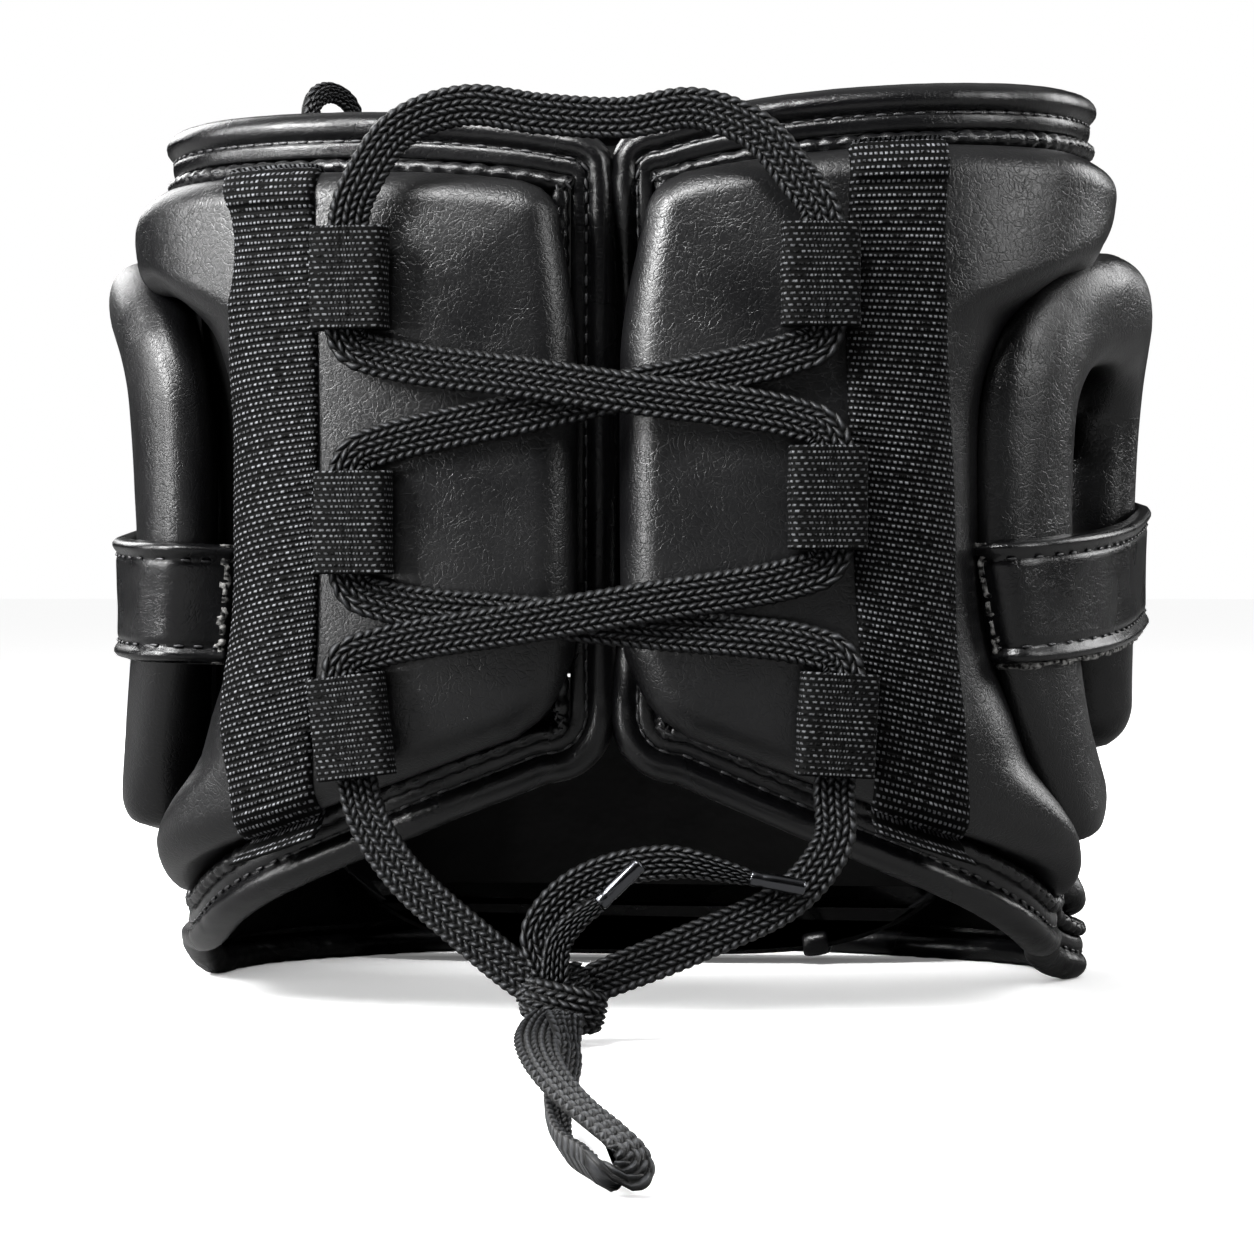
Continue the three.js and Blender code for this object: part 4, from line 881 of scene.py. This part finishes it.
def back_face(angle, z, name):
    """Offset of the leather over a back pad: full in the middle, rounded down to its seam."""
    places = np.stack([angle * ARC, z], 1)
    distance, from_ear = edge_distance(places, pad_seams[name]), edge_distance(places, pad_ears[name])
    size, side = fold(angle)
    behind = ease(z, 40, 62) * (1 - ease(z, 158, 178))
    seam = 1 - (1 - np.minimum(distance / PAD_ROUNDING, 1)) ** PAD_POWER
    bend = PAD_POWER - 0.9 * behind
    ear = (1 - (1 - np.minimum(from_ear / (9 + 11 * behind), 1)) ** bend) ** (1 / bend)
    full = pad_thickness(angle) + 0.55 * noise(size * ARC / 34, z / 46, 31 + side)
    pillow = 2.2 * (1 - (1 - np.minimum(distance / 34, 1)) ** 2) * (1 - ease(size, 40, 60)) - 0.6
    pillow -= 5 * ((z - 120) / 85) ** 2 * (1 - ease(size, 42, 60))
    return PAD_SEAT + (full + pillow - PAD_SEAT) * seam ** (1 / PAD_POWER) * ear


def overhung(angle, z, offset, name, side):
    """Place on a back pad once its leather stands over the seams at the slit, crown and hem."""
    size = np.abs(angle)
    tall = ease(offset, 2.5, 11)
    to_slit = np.exp(-np.maximum(size - PAD_SLIT, 0) * ARC / SLIT_DECAY)
    middle = ease(z, 62, 92) * (1 - ease(z, 150, 206))
    reach = LEAST_OVERHANG + (SLIT_OVERHANG[name] - LEAST_OVERHANG) * middle
    back = 1 - 0.75 * ease(size, 38, 62)
    up = CROWN_OVERHANG * np.exp(-np.maximum(crown_line(angle, PAD_MARGIN) - z, 0) / RIM_DECAY)
    down = HEM_OVERHANG * np.exp(-np.maximum(z - hem_line(angle, PAD_MARGIN), 0) / RIM_DECAY)
    sag = EAR_SAG * np.exp(-np.maximum(z - EAR_TOP, 0) / 11) * ease(size, 52, 64) * ease(z, 150, 172)
    return spot(angle - side * tall * to_slit * reach / ARC, z + tall * (back * (up - down) - sag), offset)


for name, side in SIDES:
    def pad_spot(u, v):
        return back_place(u, bunched(v) * 0.35 + v * 0.65, side)

    def top_place(u, v):
        angle, z = pad_spot(u, v)
        return overhung(angle, z, back_face(angle, z, name), name, side)

    def under_place(u, v):
        return spot(*pad_spot(u, v), PAD_SEAT)

    skins = [mapped_mesh("top", 96, 150, top_place, (140, 150)), mapped_mesh("under", 96, 150, under_place)]
    mesh = closed(f"back_pad_cover_{name}", skins, 0.01)
    piece(mesh, pad_leather, "leather", f"back_pad_{name}")

# Front pads: brow, chin and cheeks round the face opening, plain foam pads under the same leather.
FRONT_ROUNDING = 10
FRONT_PADS = [
    ("brow_pad", 110, 250, lambda a: 0 * a + 161, lambda a: crown_line(a, PAD_MARGIN), 150),
    ("chin_pad", 150, 210, lambda a: hem_line(a, PAD_MARGIN), lambda a: 0 * a + 71, 80),
    ("cheek_pad_left", -148, -107, lambda a: hem_line(a, PAD_MARGIN), lambda a: 0 * a + 157, 60),
    ("cheek_pad_right", 107, 148, lambda a: hem_line(a, PAD_MARGIN), lambda a: 0 * a + 157, 60),
]
for name, start, end, low, high, across in FRONT_PADS:
    def front_place(u, v, lift=1):
        angle = start + (end - start) * bunched(u)
        bottom, top = low(angle), high(angle)
        z = bottom + (top - bottom) * bunched(v)
        side_gap = np.minimum(angle - start, end - angle) * ARC
        slack_x = 1 - np.minimum(side_gap / FRONT_ROUNDING, 1)
        slack_z = 1 - np.minimum(np.minimum(z - bottom, top - z) / FRONT_ROUNDING, 1)
        slack = np.minimum((slack_x ** PAD_POWER + slack_z ** PAD_POWER) ** (1 / PAD_POWER), 1)
        full = pad_thickness(angle) + 0.5 * noise(angle * ARC / 30, z / 30, 51)
        domed = (1 - slack ** PAD_POWER) ** (1 / PAD_POWER)
        return spot(angle, z, PAD_SEAT + lift * (full - PAD_SEAT) * domed)

    skins = [mapped_mesh("top", across, 60, front_place, (100, 100)),
             mapped_mesh("under", across, 60, lambda u, v: front_place(u, v, 0))]
    mesh = closed(f"{name}_cover", skins, 0.01)
    piece(mesh, pad_leather, "leather", name)

# Ear guards: padded leather rolls bent into an inverted U round each ear, with rounded tips.
EAR_WIDE = 27
EAR_THICK = 23
EAR_LIFT = 0.9
EAR_TIP = 13
EAR_SUNK = {"left": 4.5, "right": 9}
ARCH_FOOT, ARCH_RISE = 137.4, 28.5
LEGS = {
    "left": [(73.5, 40), (73.5, 44), (71, 54), (68, 65), (62, 88), (58.6, 112),
             (90.5, 112), (92, 88), (94, 63), (94, 59)],
    "right": [(66, 40), (65.5, 44), (62, 54), (58.5, 65), (53.5, 88), (51.5, 112),
              (88.5, 112), (90.5, 88), (93, 63), (93, 59)],
}


def ear_thick(angle, name):
    """Thickness of an ear guard, less on the leg that is sunk in behind the ear."""
    return EAR_THICK - EAR_SUNK[name] * (1 - ease(angle, 56, 80))


for name, side in SIDES:
    near, far = LEGS[name][5][0], LEGS[name][6][0]
    bends = [math.pi * k / 10 for k in range(11)]
    arch = [((near + far) / 2 - (far - near) / 2 * math.cos(bend), ARCH_FOOT + ARCH_RISE * math.sin(bend))
            for bend in bends]
    ear_curve = smooth_curve([(a * ARC, z, 0) for a, z in LEGS[name][:6] + arch + LEGS[name][6:]], 12)
    ear_line, ear_reach = shell_line(ear_curve[:, 0] / ARC, ear_curve[:, 1], 1.3)
    ear_last = len(ear_line) - 1

    def ear_place(u, v):
        i = nearest(v, ear_last)
        turn = 2 * np.pi * u
        s = ear_reach[i]
        tip = np.minimum(s, ear_reach[-1] - s) / EAR_TIP
        blunt = np.sqrt(1 - (1 - np.minimum(tip, 1)) ** 2)
        arch = ease(ear_line[i, 1], 132, 158)
        inner = ease(-np.cos(turn), 0.2, 0.9)
        pucker = arch * inner * 0.9 * np.minimum(0, noise(s / 3.4, 0, 61 + side) + 0.2)
        lumps = 0.25 * noise(s / 15, 2 * np.cos(turn), 66 + side)
        bulge_up = signed_power(np.sin(turn), 0.9)
        thick = ear_thick(ear_line[i, 0], name)
        out = signed_power(np.cos(turn), 0.85) * (EAR_WIDE / 2 + lumps) * blunt
        up = EAR_LIFT + (bulge_up * blunt + 1) / 2 * thick + (lumps + pucker) * blunt
        return beside_line(ear_line, i, out, up, side)

    roll = mapped_mesh("ear", 48, ear_last, ear_place, (80, ear_reach[-1]))
    mesh = closed(f"ear_roll_{name}", [roll], 0.01)
    piece(mesh, pad_leather, "leather", f"ear_guard_{name}")

# Ear straps: leather straps drawn tight over both legs of the ear guards, their ends sewn to the pads.
# The long edges are folded over and stitched; the end tab is left raw, and on the right strap the lower edge
# as well.
STRAP_LOW, STRAP_WIDE, STRAP_THICK = 81.5, 28, 2.2
STRAP_CLEAR, STRAP_SKEW, STRAP_WIDENS = 0.9, 5, 3
STRAP_ENDS = {"left": (50, 2.5, 103, 4), "right": (44.4, 8.0, 103, 12)}
STRAP_STITCH = (2.7, 0.7, 0.6)
STRAP_STITCH_PITCH, STRAP_SEAM = 4.2, 4.1

# Raw leather: the pale grey fibres of a cut edge, dull and uneven.
raw_leather, tree = blank_material("raw_leather")
fibres = specks(tree, put(tree, "TexCoord").outputs, 800.0, 4.0)
surface(tree, ramp(tree, fibres, "#0c0c0c", "#8e8d8b", 0.4, 0.68), 0.85, specular=0.1)


def rounded_edge(distance, radius):
    """Height from 0 to 1 of an edge rounded off, at a distance in from it."""
    share = np.clip(distance / radius, 0, 1)
    return np.sqrt(share * (2 - share))


def leg_height(angle, name):
    """Highest offset of either leg of an ear guard under the strap."""
    top = 0.0
    thick = ear_thick(angle, name)
    for z in np.arange(STRAP_LOW - 2, STRAP_LOW + STRAP_WIDE + 16, 4):
        for leg in (LEGS[name][5:0:-1], LEGS[name][6:]):
            heights = sorted((z_leg, a) for a, z_leg in leg)
            across = abs(angle - np.interp(z, *zip(*heights))) * ARC / (EAR_WIDE / 2)
            if across < 1:
                top = max(top, EAR_LIFT + thick * (1 + (1 - across ** 2.4) ** 0.42) / 2)
    return top


for name, side in SIDES:
    first, seat, end, rise = STRAP_ENDS[name]
    hull = []
    for angle in np.arange(first, end + 0.1, 0.5):
        here = np.array([angle * ARC, leg_height(angle, name) + STRAP_CLEAR if first < angle < end else seat])
        while len(hull) > 1 and np.cross(hull[-1] - hull[-2], here - hull[-2]) >= 0:
            hull.pop()
        hull.append(here)
    strap_line, strap_reach = even(smooth_curve([(arc, off, 0) for arc, off in hull], 6), 0.9)
    strap_last = len(strap_line) - 1
    strap_run = unit(np.gradient(strap_line[:, :2], axis=0))

    def strap_spot(i, up, lift):
        share = strap_reach[i] / strap_reach[-1]
        low = STRAP_LOW + rise * share
        arc = strap_line[i, 0] - strap_run[i, 1] * lift + STRAP_SKEW * (1 - up) * (1 - share)
        z = low + (STRAP_WIDE + STRAP_WIDENS * share) * up
        return spot(side * arc / ARC, z, strap_line[i, 1] + strap_run[i, 0] * lift)

    def strap_place(u, v):
        i = nearest(v, strap_last)
        top = u <= 0.800001
        up = np.where(top, u / 0.8, (1 - u) / 0.2)
        edge = np.minimum(up, 1 - up) * STRAP_WIDE
        welt = 0.9 * np.exp(-((edge - 1.7) / 1.3) ** 2) - 0.5 * np.exp(-((edge - STRAP_SEAM) / 0.7) ** 2)
        rounded = rounded_edge(edge, 1.2)
        crease = 0.1 * noise(strap_reach[i] / 7, up * 5, 71 + side)
        lift = np.where(top, STRAP_THICK * rounded + welt * rounded + crease * rounded, 0.2)
        return strap_spot(i, up, lift)

    def cut_end_place(u, v):
        turn = 2 * np.pi * u
        fray = 1 + 0.55 * noise(v * 26, np.cos(turn), 77 + side)
        i = np.clip(np.rint(1.2 + 1.4 * fray * np.cos(turn)), 0, 4).astype(int)
        return strap_spot(i, v, 1.3 + 1.25 * fray * np.sin(turn))

    def cut_edge_place(u, v):
        turn = 2 * np.pi * u
        fray = 1 + 0.6 * noise(v * 64, np.cos(turn), 79 + side)
        up = -0.1 / STRAP_WIDE + 0.75 * fray * np.cos(turn) / STRAP_WIDE
        return strap_spot(nearest(v, strap_last), up, 0.9 + 0.8 * fray * np.sin(turn))

    strap = mapped_mesh("strap", 50, strap_last, strap_place, (40, strap_reach[-1]))
    piece(closed(f"ear_strap_leather_{name}", [strap]), edge_leather, "leather", f"ear_strap_{name}")
    cuts = [mapped_mesh("end", 10, 90, cut_end_place)]
    if side > 0:
        cuts.append(mapped_mesh("edge", 10, strap_last, cut_edge_place))
    piece(closed(f"strap_cut_edges_{name}", cuts), raw_leather, "leather")
    bm = bmesh.new()
    count = int(strap_reach[-1] / STRAP_STITCH_PITCH)
    i = nearest((np.arange(count) + 0.5) / count, strap_last)
    for up in (STRAP_SEAM / STRAP_WIDE, 1 - STRAP_SEAM / STRAP_WIDE):
        behind, here, ahead = (
            np.stack(strap_spot(np.clip(i + k, 0, strap_last), up, 2.15), 1) for k in (-1, 0, 1))
        outward = np.stack(strap_spot(i, up, 3.2), 1) - here
        add_stitches(bm, here, ahead - behind, outward, STRAP_STITCH)
    piece(to_mesh(bm, f"strap_stitches_{name}"), bonded_thread, "leather")

# Webbing bands: ribbed nylon tape sewn down each back pad from the crown seam to the hem seam.
# Heavy cross ribs, wrapped by fine warp threads, with rows of specks of painted highlight on the rib crests.
WEBBING_HALF = 10.5
WEBBING_RIB = 1.55
WEBBING_LONG = 165
WEBBING_LOW, WEBBING_RISE = 44, 158
WEBBING_X = {"left": (-76.5, -76), "right": (72, 66.5)}


def crossing(shape, near, far, before):
    """Place between near and far up to which a test holds, found by halving."""
    near, far = np.full(shape, near), np.full(shape, far)
    for _ in range(22):
        middle = (near + far) / 2
        held = before(middle)
        near, far = np.where(held, middle, near), np.where(held, far, middle)
    return near


def angle_on_pad(name, side, x, z):
    """Angle at which the face of a back pad reaches x."""
    def short(angle):
        return np.abs(spot(side * angle, z, back_face(side * angle, z, name))[0]) < np.abs(x)

    return side * crossing(np.shape(x), 2.0, 62.0, short)


# Ribbed nylon: hard-wearing spun tape, matt black between specks of painted highlight on its rib crests.
def nylon_webbing(name, across, along, light):
    material, tree = blank_material(name)
    where = put(tree, "TexCoord").outputs
    x, y, _ = put(tree, "SeparateXYZ", links={0: where["UV"]}).outputs
    ridge = sums(tree, "ABSOLUTE", sums(tree, "SINE", sums(tree, "MULTIPLY", y, math.pi / along)))
    stagger = sums(tree, "MULTIPLY", sums(tree, "FLOOR", sums(tree, "DIVIDE", y, along)), 0.37)
    column = sums(tree, "ADD", sums(tree, "DIVIDE", x, across), stagger)
    wave = sums(tree, "SINE", sums(tree, "MULTIPLY", column, 2 * math.pi))
    both = sums(tree, "MULTIPLY", remap(tree, wave, -0.75, 0.3), remap(tree, ridge, 0.66, 0.96))
    # Painted highlight: specks on the rib crests in staggered columns, thinned out at random.
    painted_glint = sums(tree, "MULTIPLY", both, remap(tree, specks(tree, where, 700.0), 0.3, 0.65))
    surface(tree, ramp(tree, painted_glint, "#020202", light, 0.12), 0.72, bump(tree, both, 0.5, 0.0004),
            specular=0.06)
    return material


# The last colour is that of the painted highlight specks.
ribbed_nylon = nylon_webbing("ribbed_nylon", 1.05, WEBBING_RIB, "#727376")
for name, side in SIDES:
    low_x, top_x = WEBBING_X[name]
    marks = np.linspace(0, 1, 40)
    levels = WEBBING_LOW + WEBBING_RISE * marks
    middles = low_x + (top_x - low_x) * marks
    edges = [angle_on_pad(name, side, middles - side * WEBBING_HALF * k, levels) for k in (-1, 0, 1)]
    edges = [np.polyval(np.polyfit(marks, edge, 4), marks) for edge in edges]

    def webbing_place(u, v):
        front = u <= 0.800001
        across = np.where(front, u / 0.4 - 1, 1 - 2 * (u - 0.8) / 0.2)
        first, middle, far = (np.interp(v, marks, edge) for edge in edges)
        angle = middle + across * (far - first) / 2 + across ** 2 * ((far + first) / 2 - middle)
        bottom, top = hem_line(angle, 7.5), crown_line(angle, 10.5)
        z = bottom + (top - bottom) * v
        inset = np.minimum(z - bottom, top - z)
        base = np.maximum(back_face(angle, z, name), 3.2) + 0.35
        hem = 1.1 * (1 - ease(inset, 8.5, 10))
        rib = 0.55 * np.abs(np.sin(np.pi * v * WEBBING_LONG / WEBBING_RIB)) ** 0.7
        rounded = np.sqrt(np.clip(1 - np.abs(across) ** 10, 0, 1))
        lift = np.where(front, (1.0 + hem + rib) * rounded, 0.0)
        return overhung(angle, z, base + lift, name, side)

    tape = mapped_mesh("tape", 40, int(WEBBING_LONG / 0.325), webbing_place,
                       (2 * WEBBING_HALF / 0.8, WEBBING_LONG))
    piece(closed(f"webbing_tape_{name}", [tape]), ribbed_nylon, "webbing", f"webbing_{name}")

# Lace loops: short lengths of finer tape folded into flat tubes, their ends sewn under the webbing.
LOOP_WIDE, LOOP_DEEP, LOOP_TALL, LOOP_WALL = 17.2, 8.0, 23.0, 1.6
LOOP_RIB, LOOP_COLUMN, LOOP_RELIEF = 1.45, 1.75, 0.35
LOOPS = {
    "left_1": ((-55.8, -116.6, 168.5), -9.8, 0), "left_2": ((-54.9, -117.1, 114.1), -10.6, 0),
    "left_3": ((-55.4, -116.7, 68.6), -10.8, -7), "right_1": ((49.1, -117.6, 168.7), 7.2, 0),
    "right_2": ((50.7, -117.8, 119.5), 8.7, 0), "right_3": ((52.8, -117.2, 69.3), 9.7, 3),
}
# Its specks of painted highlight are of this colour.
fine_nylon = nylon_webbing("fine_nylon", 1.3, 1.3, "#5a5b5d")


def slot_ring(turn, wide, deep, power=5.0):
    """Flat rounded ring: half-width and half-depth at each turn."""
    cos, sin = np.cos(turn), np.sin(turn)
    reach = (np.abs(cos / wide * 2) ** power + np.abs(sin / deep * 2) ** power) ** (-1 / power)
    return reach * cos, reach * sin


for name, (seat, yaw, roll) in LOOPS.items():
    pose = np.array(Matrix.Rotation(math.radians(yaw), 3, "Z") @ Matrix.Rotation(math.radians(roll), 3, "Y"))

    def loop_place(u, v):
        outer = v <= 0.700001
        rise = np.where(outer, v / 0.7 - 0.5, 0.5 - (v - 0.7) / 0.3) * LOOP_TALL
        turn = 2 * np.pi * u + 0.4
        x, y = slot_ring(turn, LOOP_WIDE, LOOP_DEEP)
        ix, iy = slot_ring(turn, LOOP_WIDE - 2 * LOOP_WALL, LOOP_DEEP - 2 * LOOP_WALL, 4.0)
        column = 0.6 + 0.4 * np.sin(2 * np.pi * x / LOOP_COLUMN)
        rib = np.abs(np.sin(np.pi * rise / LOOP_RIB)) ** 0.7 * column
        soft = 1 + 0.02 * noise(3 * np.cos(turn), rise / 9, 81)
        relief = np.where(outer & (np.abs(rise) < LOOP_TALL / 2 - 0.2), LOOP_RELIEF * rib, 0)
        px = np.where(outer, x * soft + relief * np.cos(turn), ix)
        py = np.where(outer, y * soft + relief * signed_power(np.sin(turn), 0.5), iy)
        return pose @ np.stack([px, py, rise]) + np.array(seat)[:, None]

    tape = mapped_mesh("loop", 66, 90, loop_place, (46, LOOP_TALL / 0.7))
    piece(closed(f"loop_tape_{name}", [tape]), fine_nylon, "webbing", f"lace_loop_{name}")

# Chin strap and keeper: a sling of folded leather across the jaw near the table, with a sliding loop.
SLING_Y, SLING_WIDE, SLING_THICK, SLING_LOW, SLING_RISE = 66, 18, 2.5, 2.4, 20
SLING_INSIDE, SLING_SHORT = 5, 1.9
KEEPER_PLACE, KEEPER_TILT = (44.0, 66.0, 5.6), -9
KEEPER_OVER, KEEPER_WALLS, KEEPER_HALF = 4.6, 3.2, 3.5


def sling_half(y):
    """Half-length of the sling at a depth: it ends just inside the lining."""
    high = SLING_LOW + SLING_RISE
    end = crossing(np.shape(y), 90.0, 180.0, lambda angle: spot(angle, high, -SLING_INSIDE)[1] < y)
    return spot(end, high, -SLING_INSIDE)[0] - SLING_SHORT


def sling_place(u, v):
    front = u <= 0.500001
    across = np.where(front, 2 * u - 0.5, 0.5 - 2 * (u - 0.5))
    y = SLING_Y + across * SLING_WIDE
    share = 2 * v - 1
    half = sling_half(y)
    rise = SLING_RISE * (share * half / sling_half(np.full_like(y, SLING_Y))) ** 4
    edge = (0.5 - np.abs(across)) * SLING_WIDE
    rounded = rounded_edge(edge, 1.3)
    wrinkle = 0.25 * noise(share * half / 5, across * 4, 91)
    body = SLING_THICK / 2 * rounded + np.exp(-((edge - 2) / 1.2) ** 2) * 0.35 + wrinkle * rounded
    z = SLING_LOW + SLING_THICK / 2 + rise + np.where(front, body, -SLING_THICK / 2 * rounded)
    return share * half, y, z


piece(closed("chin_sling", [mapped_mesh("sling", 36, 170, sling_place, (36, 170))]),
      edge_leather, "leather", "chin_strap")
keeper_pose = np.array(Matrix.Rotation(math.radians(KEEPER_TILT), 3, "Y"))


def keeper_place(u, v):
    turn = 2 * np.pi * v
    wide, deep = SLING_WIDE + KEEPER_OVER, SLING_THICK + KEEPER_OVER
    y, z = slot_ring(turn, wide, deep, 4.0)
    iy, iz = slot_ring(turn, wide - KEEPER_WALLS, deep - KEEPER_WALLS, 4.0)
    section = 2 * np.pi * u
    thick = (1 + np.sin(section)) / 2
    soft = signed_power(np.cos(section), 0.6)
    x = soft * KEEPER_HALF + 0.25 * noise(3 * np.cos(turn), 2 * np.cos(section), 95)
    local = np.stack([x, iy + (y - iy) * thick, iz + (z - iz) * thick])
    return keeper_pose @ local + np.array(KEEPER_PLACE)[:, None]


piece(closed("keeper_loop", [mapped_mesh("keeper", 16, 60, keeper_place, (10, 50))]),
      edge_leather, "leather", "strap_keeper")

# Hanging loop: a short braided cord sewn inside the left rim, standing up over it.
HANG = [(-1, 190), (-1, 220), (-0.75, 228.6), (0, 231.4), (0.75, 228.6), (1, 220), (1, 190)]
HANG_ANGLE, HANG_SPREAD, HANG_FOOT, HANG_INSIDE, HANG_HALF, HANG_THICK = -125, 5.6, 190.0, 8.0, 2.7, 3.2
hang_angles = np.array([HANG_ANGLE + HANG_SPREAD * side for side, _ in HANG])
hang_x, hang_y, _ = spot(hang_angles, HANG_FOOT, -HANG_INSIDE)
hang_line, hang_reach = even(smooth_curve([(x, y, z) for x, y, (_, z) in zip(hang_x, hang_y, HANG)]), 0.5)
inward = np.tile([0.8, -0.55, 0.2], (len(hang_line), 1))
hang_half, hang_thick = (np.full(len(hang_line), value) for value in (HANG_HALF, HANG_THICK))
hang_mesh = braid_mesh("hanging_cord", hang_line, hang_reach, inward, hang_half, hang_thick, 24, 12)
piece(hang_mesh, braided_polyester, "lace", "hang_loop")
